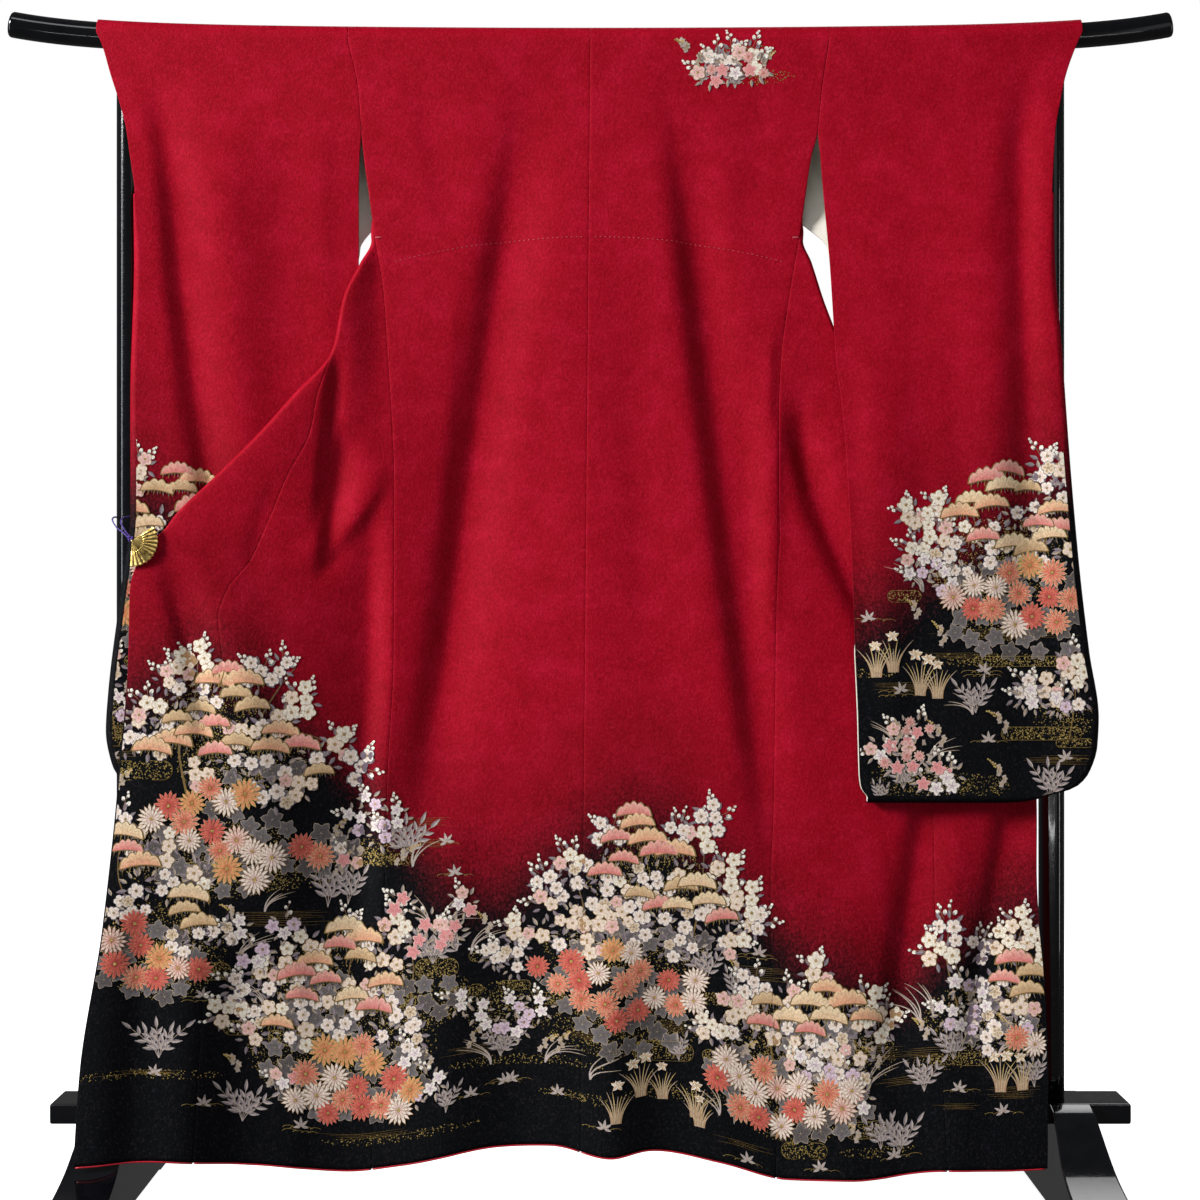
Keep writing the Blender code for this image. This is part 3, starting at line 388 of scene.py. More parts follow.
SLEEVE = {-1: table(SLEEVE_COLUMNS, """
    1620 338 688 -20.8 -20.8 20.8 20.8 688, 1606 334.5 681 -21 -21 20.7 20.9 680,
    1560 324.5 667 -22 -22.6 20.4 21.2 611, 1525 321 655 -23 -25.5 18 9 606,
    1490 318.5 645 -24 -29 16 -4 606, 1460 320.5 640 -23.5 -33 12 -14 606,
    1430 321.5 635 -23.5 -38 7 -23.5 611, 1400 322 632 -23 -41 2 -38.5 632,
    1310 322 632 -22 -42 -4 -26 632, 1120 325 637 -22 -43 -6 -27 637, 966 328 637 -22 -43 -6 -27 637,
    856 330 650 -22 -43 -6 -27 650, 710 335 668 -22 -43 -6 -27 668, 660 337 671 -22 -43 -6 -27 671,
    615 340 663 -22 -43 -6 -27 663, 585 343 642 -22 -43 -6 -27 642, 571 346 600 -22 -43 -6 -27 600"""),
          1: table(SLEEVE_COLUMNS, """
    1620 332.5 685 -20.8 -20.8 20.8 20.8 685, 1606 329.5 678 -21 -21 20.7 20.9 677,
    1560 323 661 -22 -22.6 20.4 21.2 611, 1525 319.5 653 -23 -26.2 18 9 606,
    1490 316 646 -24 -31 16 -4 606, 1460 319 643 -26 -36 9 -14 606, 1430 321 641 -30 -41 0 -24 611,
    1400 323 640 -35 -45 -10 -42.5 640, 1310 330 641 -49 -56 -31 -40 641,
    1185 337 648 -64 -72 -48 -56 648, 1070 349 655 -72 -78 -56 -62 655, 900 358 669 -76 -80 -60 -64 669,
    770 363 684 -76 -80 -60 -64 684, 680 367 697 -76 -80 -60 -64 697, 640 368 695 -76 -80 -60 -64 695,
    605 369 684 -76 -80 -60 -64 684, 585 371 666 -76 -80 -60 -64 666, 571 380 620 -76 -80 -60 -64 620""")}
print("sleeve drop", POLE_HEIGHT - SLEEVE_FOOT, "m")

# %% [markdown]
# Folds are placed one by one, since cloth on a stand keeps the creases that its weight and its pins
# give it. Each fold is a straight or bowed line with a soft trough across it: a positive depth goes
# away from the viewer, and a negative one is a ridge. A trough falls steeply on its left side and
# comes back slowly on its right, and a ridge does the opposite. Broad folds come first, and then
# the narrow creases that lie in them, fan out from the clip, or drop from the pole.

# %% Folds
FOLD_END = 0.30
FOLD_SHARPNESS = 1.5
FOLD_TAIL = 1.9
FOLD_COLUMNS = "top_x top_z foot_x foot_z bow depth half_width"

BODY_FOLDS = table(FOLD_COLUMNS, """
    -78 1620 -246 450 0 15 32, -170 1250 -215 250 0 15 110, 106 1620 262 400 -4 14.5 25,
    262 1230 256 1060 0 3.5 8, 85 1620 235 450 0 -8 45, -10 1500 -10 600 0 -5 90,
    262 1300 244 700 0 -4 14, 20 420 30 0 0 -12 45, -80 450 -100 0 0 8 60, 110 420 115 0 0 7 50,
    -195 600 -205 0 0 -8 50, -170 1330 -200 900 4 1.6 14, -60 1300 -90 820 4 1.4 24,
    50 1250 85 700 -4 1.4 22, 205 1200 232 760 0 1.6 14, -250 1590 -190 1330 4 1.8 22,
    245 1590 215 1300 -4 1.6 22, -20 330 -22 0 0 3 26, 170 400 185 0 0 -3 30""")
FRONT_FOLDS = {-1: table(FOLD_COLUMNS, """
    -346 1240 -380 920 3 6.8 11, -338 1100 -370 855 0 9.5 15, -235 1065 -395 870 0 -6 22,
    -290 1050 -300 300 0 14 80, -596 925 -520 600 12 9 20, -520 860 -420 300 20 -10 50,
    -600 500 -615 0 0 12 40, -470 420 -480 0 0 10 50, -596 925 -470 620 20 2.6 14,
    -575 930 -395 800 6 2.4 12, -430 1020 -470 860 -6 1.8 14, -545 420 -550 0 0 -4 26,
    -405 420 -410 0 0 -3.5 28"""),
               1: table(FOLD_COLUMNS, """
    250 1180 420 740 -15 13 24, 492 720 395 150 0 10 25, 615 720 500 150 0 9 22, 350 500 350 0 0 -8 50,
    500 600 505 0 0 -3 26, 395 560 402 0 0 -3 24""")}
SLEEVE_FOLDS = {-1: table(FOLD_COLUMNS, """
    -607 1600 -493 720 0 10.5 22, -430 1560 -420 900 0 3 40, -520 1560 -470 900 0 -4 40,
    -598 1380 -560 1020 8 1.6 11, -640 1600 -500 1180 10 2.2 24, -380 1560 -365 1100 0 -1.6 20"""),
                1: table(FOLD_COLUMNS, """
    602 1640 602 760 0 9.6 30, 545 1500 548 800 0 -4 36, 450 1500 470 800 0 2 45,
    590 960 600 560 0 4 40, 400 1260 410 600 0 -5 50, 630 1600 545 1240 -6 1.8 22,
    500 1250 520 700 0 2 22, 440 900 446 560 0 1.8 20""")}


def read(columns, name, at):
    """A column where the first one has that value: a cubic through the rows that never overshoots them."""
    places = next(iter(columns.values()))[::-1]
    values = columns[name][::-1]
    step = np.diff(places)
    rise = np.diff(values) / step
    slope = np.concatenate([rise[:1], np.zeros(len(rise) - 1), rise[-1:]])
    same_way = rise[:-1] * rise[1:] > 0
    total = np.where(same_way, rise[:-1] + rise[1:], 1.0)
    slope[1:-1] = np.where(same_way, 2 * rise[:-1] * rise[1:] / total, 0.0)
    at = np.clip(at, places[0], places[-1])
    row = np.clip(np.searchsorted(places, at) - 1, 0, len(step) - 1)
    t = (at - places[row]) / step[row]
    bend = step[row] * ((t**3 - 2 * t**2 + t) * slope[row] + (t**3 - t**2) * slope[row + 1])
    return values[row] + (3 * t**2 - 2 * t**3) * (values[row + 1] - values[row]) + bend


def ease(value, start, end):
    """A smooth S, 3 t^2 - 2 t^3: it is 0 up to the start and 1 from the end on."""
    t = np.clip((value - start) / (end - start), 0.0, 1.0)
    return t * t * (3 - 2 * t)


def fold_depth(folds, x, z):
    """Sum of the folds at a point: each is depth exp(-1.5 (x - line)^2 / width^2), faded along its line.

    The width is the fold's half width on its steep side, and 1.9 times that on its slow side.
    """
    depth = np.zeros(np.broadcast(x, z).shape)
    for top_x, top_z, foot_x, foot_z, bow, deep, half_width in zip(*folds.values()):
        along = (top_z - z) / (top_z - foot_z)
        line = top_x + along * (foot_x - top_x) + bow * 4 * along * (1 - along)
        fade = ease(along, 0.0, FOLD_END) * (1.0 if foot_z <= 0.0 else ease(along, 1.0, 1.0 - FOLD_END))
        width = half_width * np.where((x - line) * deep > 0, FOLD_TAIL, 1.0)
        depth += deep * fade * np.exp(-FOLD_SHARPNESS * ((x - line) / width) ** 2)
    return depth


print(len(BODY_FOLDS["depth"]), "folds in the back")

# %% [markdown]
# Now the cloth itself. One function gives the point of the hung body for any place on the plan, and
# another does so for a sleeve. Seams pull the cloth in, so a narrow groove follows each of them, and
# the stitches gather it a little, which shows as a faint row of ripples on both sides.

# %% The body as a surface
GROOVE_DEPTH = 0.00038
GROOVE_HALF = 0.0016
PUCKER_DEPTH = 0.00018
PUCKER_REACH = 0.010
PUCKER_PITCH = 0.019
BOW_LOW, BOW_HIGH = 1.250, 1.580
HEM_LINE_HIGH = 0.460
DRAWN_HIGH, DRAWN_LOW = 1.360, 1.300
BEHIND_LOW = 0.850
BEHIND_REACH = 0.100
JOINED_REACH = 0.150
FOLDS_REACH = 0.040


def pole_rise(x):
    """How far the pole's axis has risen above its middle: 10 mm share^2 + 17 mm share^8 of its half."""
    share = np.abs(x) / POLE_HALF
    return 0.010 * share**2 + 0.017 * share**8


def lean(height):
    """Depth of the back, which leans away from the pole as it goes down."""
    return read(LEAN, "depth", height)


def placed(x, y, height):
    """Point of hung cloth: its top follows the pole's bow and its foot the hem's line."""
    top = pole_rise(x) * ease(height, BOW_LOW, BOW_HIGH)
    foot = (read(HEM_LINE, "lift", x) - HEM) * ease(height, HEM_LINE_HIGH, HEM)
    return stacked(x, y, height + top + foot)


def over_pole(x, angle):
    """Point of cloth on the pole: the angle runs from 0 on the near side to pi on the far side."""
    height = POLE_HEIGHT + pole_rise(x) + HANG_RADIUS * np.sin(angle)
    return stacked(x, -HANG_RADIUS * np.cos(angle), height)


def centre_seam(height):
    """The centre back seam's X: it drifts 14 mm to the left by the floor."""
    return -0.014 * (1 - height / POLE_HEIGHT)


def side_seam(side, height):
    """Distance of a side seam from X = 0."""
    return read(FRONT[side], "seam", height)


def neck_edge(height):
    """Distance of the neck opening's edge from X = 0: a round corner at the top, then straight down."""
    above = np.maximum(height - (POLE_HEIGHT - SEAM_GAP - NECK_CORNER), 0.0)
    return NECK_HALF - NECK_CORNER + np.sqrt(np.maximum(NECK_CORNER**2 - above**2, 0.0))


def groove(distance, height):
    """Depth near a seam: a trough exp(-(d / half)^2), and gathers, sin along it, that die away from it."""
    trough = GROOVE_DEPTH * np.exp(-(distance / GROOVE_HALF) ** 2)
    gather = np.sin(2 * np.pi * height / PUCKER_PITCH + 3 * np.sin(9 * height))
    return trough + PUCKER_DEPTH * gather * np.exp(-(distance / PUCKER_REACH) ** 2)


def front_turn(height):
    """How far the front has turned at the side seam: 0 above, where it hangs behind, and pi below."""
    return np.pi * ease(height, FRONT_TURN_TOP, SIDE_SEAM_TOP)


def front_plan(side, along, height):
    """Point of a front at a distance along its cloth from the side seam.

    The cloth runs outward from the seam, turns back round the fold, and runs inward behind itself.
    Above the side seam it starts part way round that turn, so that it hangs straight down behind.
    """
    names = FRONT_COLUMNS.split()[1:]
    seam, fold, okumi, edge, roll, outer = (read(FRONT[side], name, height) for name in names)
    turn = front_turn(height)
    start = np.pi - turn
    run = np.maximum(fold - roll - WALL / 2, 0.0) * np.sin(turn / 2)
    first = np.minimum(along, run)
    angle = start + np.clip(along - run, 0.0, roll * turn) / roll
    back = np.maximum(along - run - roll * turn, 0.0)
    out = first * np.cos(start) + roll * (np.sin(angle) - np.sin(start)) - back
    outward = np.maximum(out, 0.0)
    x = side * (seam + out)
    drawn = ease(height, DRAWN_HIGH, DRAWN_LOW)
    behind = first * np.sin(start) + roll * (np.cos(start) - np.cos(angle))
    depth = np.where(height <= SIDE_SEAM_TOP, lean(height), read(FAR, "depth", height))
    swing = (outer - lean(height)) * ease(outward, 0.0, np.minimum(fold, edge)) * drawn
    back_folds = fold_depth(BODY_FOLDS, side * (seam + outward), height)
    joined = back_folds * (1 - ease(out, 0.0, JOINED_REACH)) * drawn
    apart = read(BEHIND, "depth", height) * ease(out, 0.0, -BEHIND_REACH)
    under = np.where(height > BEHIND_LOW, apart, 0.0)
    own_folds = fold_depth(FRONT_FOLDS[side], x, height) * ease(out, 0.0, FOLDS_REACH)
    sewn = groove(along, height) + groove(along - okumi, height)
    way = np.cos(np.clip(angle, start, np.pi))
    return placed(x, depth + behind + swing + under + joined + own_folds + sewn * way, height)


def back_plan(side, x, height):
    """Point of the back, up to the pole and, above its height, on round the pole."""
    sewn = groove(x - centre_seam(height), height) + groove(side * side_seam(side, height) - x, height)
    on_pole = np.clip((height - POLE_HEIGHT) / HANG_RADIUS, 0.0, np.pi)
    flat = np.minimum(height, POLE_HEIGHT)
    hung = placed(x, lean(flat) + fold_depth(BODY_FOLDS, x, flat) + sewn, flat)
    return np.where((height > POLE_HEIGHT)[..., None], over_pole(x, on_pole), hung)


def body_cloth(x, height):
    """Point of the body for a place on the plan: x is measured along the cloth from X = 0."""
    x, height = np.broadcast_arrays(np.asarray(x, float), np.asarray(height, float))
    points = np.empty((*x.shape, 3))
    for side in SIDES:
        here = (x - centre_seam(height)) * side >= 0
        beyond = np.abs(x) - side_seam(side, height)
        outer = here & (beyond > 0) & (height <= POLE_HEIGHT)
        inner = here & ~outer
        points[inner] = back_plan(side, x[inner], height[inner])
        points[outer] = front_plan(side, beyond[outer], height[outer])
    return points


print("chest height point", body_cloth(0.1, 1.2).round(4))

# %% [markdown]
# A sleeve's layer is a flat sheet between its inner and its outer edge. Near the wrist's end the two
# layers draw together where they are sewn. Beside the open armhole the far layer reaches in behind
# the body, and its lining shows in the slit. Below that a narrow strip of it stands out inward.

# %% A sleeve as a surface
SEAM_BLEND = 0.020
TUCK_BLEND = 0.050
STRIP_START = 0.030
STRIP_BLEND = 0.040
BEHIND_BODY = 0.004


def sleeve_layer(side, share, height, far):
    """Point of a sleeve's near or far layer: share runs from 0 at the inner edge to 1 at the outer one."""
    sleeve = SLEEVE[side]
    name = "far" if far else "near"
    seam = side_seam(side, height)
    inner = np.where(height >= SLEEVE_SEAM_END, seam, read(sleeve, "inner", height)) + SEAM_GAP / 2
    below_seam = ease(height, SLEEVE_SEAM_END, SLEEVE_SEAM_END - SEAM_BLEND)
    tucked = below_seam * ease(height, ARMHOLE_FOOT, ARMHOLE_FOOT + TUCK_BLEND) * far
    inner = inner - tucked * (inner - seam + ARMHOLE_TUCK)
    below_armhole = ease(height, ARMHOLE_FOOT, ARMHOLE_FOOT - STRIP_START)
    inner = inner + STRIP_WIDTH * below_armhole * ease(height, STRIP_TOP, STRIP_TOP + STRIP_BLEND) * far
    low = np.minimum(height, WRIST_END)
    half_apart = (read(sleeve, "far_out", low) - read(sleeve, "near_out", low)) / 2
    outer = read(sleeve, "far_edge" if far else "outer", height)
    outer = outer - ease(height, WRIST_END + SLEEVE_TUCK, WRIST_END) * half_apart
    x = side * (inner + (outer - inner) * share)
    at_inner = read(sleeve, name + "_in", height)
    behind = np.maximum(read(FAR, "depth", height), at_inner) + BEHIND_BODY
    at_inner = at_inner + tucked * (behind - at_inner)
    at_outer = read(sleeve, name + "_out", height)
    in_field = ease(share, 0.0, SLEEVE_FOLD_END) * ease(share, 1.0, 1.0 - SLEEVE_FOLD_END)
    folds = fold_depth(SLEEVE_FOLDS[side], x, height) * in_field
    sewn = groove((outer - inner) * share, height)
    sewn = sewn * ease(height, SLEEVE_SEAM_END, SLEEVE_SEAM_END + SEAM_BLEND)
    return placed(x, at_inner + (at_outer - at_inner) * share + folds + sewn * (-1 if far else 1), height)


print("sleeve's middle", sleeve_layer(1, 0.5, 1.0, False).round(4))

# %% [markdown]
# Each cut piece becomes a grid over its own part of the plan. The rows lie closer where the fronts
# roll over, and extra columns lie beside every seam, so that the grooves stay sharp. The grid is an
# open surface: a Solidify modifier gives it its thickness, and puts the lining on its inner face.

# %% Rows and columns
CLOTH_THICKNESS = 0.0016
EDGE_COLUMNS = np.array([0.0, 0.0010, 0.0025, 0.0045])
EDGE_ROOM = 0.02
SCENE_GAP = 0.00005
ROLL_SHARE = 6.0
ROW_BREAKS = [HEM, 1.14, 1.30, 1.43, POLE_HEIGHT - NECK_CORNER]
ROW_STEPS = [0.0058, 0.0042, 0.0026, 0.0052]


def rows_between(low, high, step):
    """Evenly spread heights from low to high, about a step apart."""
    return np.linspace(low, high, max(int(round((high - low) / step)), 1) + 1)


def body_rows(foot, top):
    """Heights from foot to top: fine where the fronts turn over, coarser below and above."""
    rows = [rows_between(*part)[:-1] for part in zip(ROW_BREAKS[:-1], ROW_BREAKS[1:], ROW_STEPS)]
    round_corner = np.sin(np.linspace(0, np.pi / 2, 15))
    rows.append(POLE_HEIGHT - SEAM_GAP - NECK_CORNER * (1 - round_corner))
    rows = np.concatenate(rows + [[POLE_HEIGHT]])
    return np.concatenate([[foot], rows[(rows > foot + 0.001) & (rows < top - 0.0002)], [top]])


def with_edges(start, end, count):
    """Distances from start to end for each row: evenly spread, with extra ones close to both ends."""
    start, end = (ends[:, None] for ends in np.broadcast_arrays(start, end))
    near = EDGE_COLUMNS * np.minimum(1.0, (end - start) / EDGE_ROOM)
    low, high = start + near, end - near[:, ::-1]
    middle = low[:, -1:] + (high[:, :1] - low[:, -1:]) * np.linspace(0, 1, count)[None, 1:-1]
    return np.concatenate([low, middle, high], axis=1)


def front_columns(front, heights, first, last, count):
    """Distances along a front's cloth for each row: the roll of its fold gets six times its share."""
    roll = read(front, "roll", heights)
    run = np.maximum(read(front, "fold", heights) - roll - WALL / 2, 0.0)
    rolled = run + roll * front_turn(heights)
    breaks = np.stack([first, np.clip(run, first, last), np.clip(rolled, first, last), last])[..., None]
    cost = np.cumsum(np.diff(breaks, axis=0) * np.array([1.0, ROLL_SHARE, 1.0])[:, None, None] + 1e-7, axis=0)
    cost = np.concatenate([np.zeros_like(cost[:1]), cost]) / cost[-1]
    share = np.linspace(0, 1, count)[None, :]
    columns = np.zeros((len(heights), count))
    for i in range(3):
        part = (share - cost[i]) / (cost[i + 1] - cost[i])
        spread = breaks[i] + part * (breaks[i + 1] - breaks[i])
        columns = np.where((part >= 0) & (part <= 1), spread, columns)
    edges = [first[:, None] + EDGE_COLUMNS[1:], last[:, None] - EDGE_COLUMNS[1:]]
    return np.sort(np.concatenate([columns, *edges], axis=1), axis=1)


print(len(body_rows(HEM, POLE_HEIGHT)), "rows from hem to pole")

# %% [markdown]
# The ground is dyed red above and black below, and one colour is brushed into the other while the
# cloth is damp. The border climbs and dips across the garment. We store for every point how far it
# lies above that border, as a share of the blend's half width, and let the shader mix the two.

# %% Where red turns to black
BODY_BORDER = table("x level", """
    690 440, 626.1 441.7, 564.1 427.9, 495.3 386.6, 426.4 324.6, 357.6 345.3, 288.7 372.8, 219.9 441.7,
    151 510.5, 82.2 551.8, 13.3 538, -55.6 496.7, -124.4 455.4, -193.3 469.2, -262.1 524.3, -331 610,
    -399.8 680, -468.7 750, -537.5 765, -638 735, -720 725""")
SLEEVE_BORDER = table("x level", """
    700 1050, 670 1035, 510 920, 358 820, 300 800""")
BLEND_HALF = 0.075


def dye_share(border, x, height):
    """Height above the border over the blend's half width, for a place on the plan."""
    return (height - read(border, "level", x)) / BLEND_HALF


def dye_cloth(obj, values):
    """Store the dye's share at each point of the mesh, for the shader to read."""
    attribute = obj.data.attributes.new("dye", "FLOAT", "POINT")
    attribute.data.foreach_set("value", np.ascontiguousarray(values, np.float32).ravel())


print("border at the middle of the back", float(read(BODY_BORDER, "level", 0.0)), "m")

# %% [markdown]
# The furisode is silk crepe: hard-twisted threads pucker the weave into a fine pebbled grain, which
# scatters the light and kills the shine that plain silk would have. A noise of about 3 mm makes the
# grain in the bump. It also breaks up the border, so that red and black meet in specks, and a few of
# its highest grains get a painted highlight, a little colour added for threads that catch the light.

# %% Crepe
def crepe_grain(tree, place):
    """The pebbled weave: a noise for its cells times a finer one, drawn out sideways, for its threads."""
    cells = noise(tree, place, 330.0, 2.0, 0.55, (1.0, 1.0, 0.75))
    threads = noise(tree, place, 950.0, 1.0, 0.5, (0.6, 1.0, 1.4))
    return calculate(tree, "MULTIPLY_ADD", cells, threads, 0.0), cells


def dyed_crepe():
    """Two grounds that meet where the dye's share, moved by clouds and by the grain, passes zero; painted
    shade darkens the low cloth.
    """
    material, tree, shader, place = new_material("Dyed crepe with painted shade and glints", {
        "Roughness": 0.62, "Sheen Weight": 0.03, "Sheen Roughness": 0.40, "Specular IOR Level": 0.07,
        "Sheen Tint": paint(230, 60, 90)})
    grain, cells = crepe_grain(tree, place)
    dye = add_node(tree, "Attribute", attribute_name="dye").outputs["Fac"]
    damp = calculate(tree, "SUBTRACT", noise(tree, place, 9.0, 4.0, 0.6), 0.5)
    wavy = calculate(tree, "MULTIPLY_ADD", damp, 0.9, dye)
    speck = calculate(tree, "SUBTRACT", cells, 0.5)
    broken = calculate(tree, "MULTIPLY_ADD", speck, 1.5, wavy)
    share = add_node(tree, "MapRange", {"Value": broken, "From Min": -1.0, "From Max": 1.15},
                     interpolation_type="SMOOTHSTEP").outputs["Result"]
    tone = noise(tree, place, 26.0, 5.0, 0.62)
    red = ramp(tree, tone, [(0.32, paint(160, 2, 28)), (0.52, paint(169, 4, 34)), (0.70, paint(180, 10, 44))])
    black = ramp(tree, cells, [(0.35, paint(7, 11, 15)), (0.62, paint(12, 16, 21)),
                               (0.80, paint(24, 29, 35))])
    # Painted shade: the colour is multiplied down to 0.72 near and below the border and is full 2.8 blend
    # half widths above it, for the light that falls off towards the hem.
    painted_low_shade = add_node(tree, "MapRange", {"Value": dye, "From Min": 0.6, "From Max": 2.8,
                                         "To Min": 0.72}).outputs["Result"]
    deep = mix(tree, mix(tree, black, red, share), painted_low_shade, blend="MULTIPLY")
    light = ramp(tree, grain, [(0.10, paint(206, 206, 206)), (0.30, paint(255, 255, 255))])
    # Painted highlight: the highest grains get a little colour added, for threads that catch the light.
    painted_glint = ramp(tree, grain, [(0.29, paint(0, 0, 0)), (0.42, paint(32, 24, 28))])
    pebbled = mix(tree, mix(tree, deep, light, blend="MULTIPLY"), painted_glint, blend="ADD")
    dress(tree, shader, pebbled, grain, 0.7, 0.0012)
    return material


crepe = dyed_crepe()
print("made", crepe.name)

# %% [markdown]
# The lining is smooth plain silk. It is white round the chest and in the sleeves, and red in the
# lower part and along the hem, where it is seen when its wearer walks. The two meet in a seam at
# about the height of the knee, so one material chooses between them by height.

# %% Linings
def silk_lining(name, lower_colour, change_height):
    """Smooth ribbed silk: white down to the change height, and the lower colour below it, both with patches
    of painted fold shade.
    """
    material, tree, shader, place = new_material(name, {
        "Roughness": 0.42, "Sheen Weight": 0.25, "Sheen Roughness": 0.35, "Specular IOR Level": 0.45})
    weave = noise(tree, place, 1200.0, 1.0, 0.5, (1.0, 1.0, 0.25))
    # Painted shade: a broad noise, named folds, lightens and darkens both colours in patches, as soft folds
    # in the silk would.
    folds = noise(tree, place, 14.0, 3.0, 0.5)
    brighter = (*(1.25 * part for part in lower_colour[:3]), 1.0)
    white = ramp(tree, folds, [(0.35, paint(226, 221, 208)), (0.65, paint(240, 237, 228))])
    low = ramp(tree, folds, [(0.35, lower_colour), (0.65, brighter)])
    height = add_node(tree, "SeparateXYZ", {"Vector": place}).outputs["Z"]
    above = calculate(tree, "GREATER_THAN", height, change_height)
    dress(tree, shader, mix(tree, low, white, above), weave, 0.35, 0.0004)
    return material


body_lining = silk_lining("Body lining silk", paint(176, 16, 36), 0.780)
sleeve_lining = silk_lining("Sleeve lining silk", paint(232, 228, 216), 0.0)
print("made", body_lining.name, "and", sleeve_lining.name)

# %% [markdown]
# Back, fronts, overlap panels and collar each become a sheet of their own, as they are cut from one
# narrow bolt of cloth and sewn edge to edge. Each sheet prints its length and its mean width, so
# that nobody has to guess how much cloth was hung.

# %% The body's pieces
POLE_ANGLES = np.linspace(0, np.pi, 17)
OVER_POLE = POLE_HEIGHT + HANG_RADIUS * POLE_ANGLES[1:]
BACK_COLUMNS, FRONT_PIECE_COLUMNS, OKUMI_COLUMNS = 44, 54, 34


def finish_cloth(obj, name):
    """Give a sheet its thickness and its lining, and hide the part it stands for."""
    wall = obj.modifiers.new("Cloth and lining", "SOLIDIFY")
    wall.thickness = CLOTH_THICKNESS
    wall.offset = 0.0
    wall.material_offset = 1
    wall.material_offset_rim = 0
    wall.use_even_offset = False
    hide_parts(name)


def cloth_piece(name, side, points, dye):
    """A sheet from a grid of points, whose columns are turned to run to the viewer's right."""
    order = slice(None, None, side)
    obj = add_mesh(name + "_silk", points[:, order], grid_faces(*points.shape[:2]), [crepe, body_lining])
    dye_cloth(obj, dye[:, order])
    finish_cloth(obj, name)
    down = np.linalg.norm(np.diff(points, axis=0), axis=-1).sum(axis=0)
    across = np.linalg.norm(np.diff(points, axis=1), axis=-1).sum(axis=1)
    print(f"{name}: {down[len(down) // 2]:.3f} m long, {across.mean():.3f} m wide on average")


def front_piece(name, side, rows, first, last, count):
    """A sheet of a front, from the first to the last distance along its cloth in each row."""
    along = front_columns(FRONT[side], rows, first, last, count)
    height = np.broadcast_to(rows[:, None], along.shape)
    plan_x = side * (side_seam(side, rows)[:, None] + along)
    cloth_piece(f"{name}_{SIDES[side]}", side, front_plan(side, along, height),
                dye_share(BODY_BORDER, plan_x, height))


for side in SIDES:
    rows = body_rows(HEM, POLE_HEIGHT)
    heights = np.concatenate([rows, OVER_POLE])
    start = centre_seam(np.minimum(heights, POLE_HEIGHT)) + side * SCENE_GAP
    seam = side * (side_seam(side, heights) - SCENE_GAP)
    x = start[:, None] + side * with_edges(np.zeros_like(seam), np.abs(seam - start), BACK_COLUMNS)
    height = np.broadcast_to(heights[:, None], x.shape)
    cloth_piece("back_" + SIDES[side], side, back_plan(side, x, height), dye_share(BODY_BORDER, x, height))

    rows[-1] = POLE_HEIGHT - SEAM_GAP
    okumi = read(FRONT[side], "okumi", rows) - SCENE_GAP
    at_neck = side_seam(side, rows) - neck_edge(rows) - SCENE_GAP
    last = np.where(rows > POLE_HEIGHT - NECK_CORNER, at_neck,
                    np.where(rows > OKUMI_TOP, np.minimum(okumi, at_neck), okumi))
    first = np.full(len(rows), SCENE_GAP)
    front_piece("front", side, rows, first, last, FRONT_PIECE_COLUMNS)

    rows = body_rows(HEM, OKUMI_TOP)
    first = read(FRONT[side], "okumi", rows) + SCENE_GAP
    last = np.maximum(read(FRONT[side], "edge", rows) - SCENE_GAP, first + 0.002)
    front_piece("okumi", side, rows, first, last, OKUMI_COLUMNS)

# %% [markdown]
# The collar is one long strip. It climbs the hidden edge of the left front, turns round the back of
# the neck in a tight curve and goes down the right front. Its path is a list of stretches, and each
# row of the strip is a straight line across it.

# %% Collar
ABOVE_BORDER = 9.0
COLLAR_TOP = POLE_HEIGHT - SEAM_GAP - NECK_CORNER

collar_width = (COLLAR_WIDTH - SCENE_GAP) * np.linspace(0, 1, 12)[None, :]


def collar_leg(side, rows):
    """The strip along a front's edge: each row goes on where the front's cloth ends."""
    along = read(FRONT[side], "edge", rows)[:, None] + SCENE_GAP + collar_width
    return front_plan(side, along, np.broadcast_to(rows[:, None], along.shape))


def collar_turn(side, angles):
    """A quarter round the neck's corner: the strip's width runs towards the corner's middle."""
    radius = NECK_CORNER - SCENE_GAP - collar_width
    height = COLLAR_TOP + radius * np.sin(angles[:, None])
    x = side * (NECK_HALF - NECK_CORNER + radius * np.cos(angles[:, None]))
    return stacked(x, read(FAR, "depth", height) + read(BEHIND, "depth", height), height + pole_rise(x))


leg_rows = rows_between(COLLAR_FOOT, COLLAR_TOP - 0.004, 0.0048)
quarter = np.linspace(0, np.pi / 2, 22)
collar_points = np.concatenate([collar_leg(-1, leg_rows), collar_turn(-1, quarter),
                                collar_turn(1, quarter[::-1][1:]), collar_leg(1, leg_rows[::-1])])
cloth_piece("collar", -1, collar_points, np.full(collar_points.shape[:2], ABOVE_BORDER))

# %% [markdown]
# A sleeve is one length of cloth. Its upper part passes over the pole and leaves the wrist's opening
# at the outer edge, and its lower part closes into a bag whose far corner is rounded. Three grids
# share their edges: the strip over the pole, the bag below it, and the half round along the bottom.

# %% Sleeves
SLEEVE_WIDTH = 0.32
SLEEVE_ROW = 0.0055
ACROSS_SLEEVE = 52
TURN_STEPS = 9
BAG_ROUND = 0.064


def half_round(near, far, way):
    """Points of half circles from near to far that bulge along way, one for each pair of points."""
    radius = np.linalg.norm(far - near, axis=-1, keepdims=True) / 2
    angle = np.linspace(0, np.pi, TURN_STEPS + 1).reshape(-1, *([1] * near.ndim))
    return (near + far) / 2 + (near - far) / 2 * np.cos(angle) + way * radius * np.sin(angle)


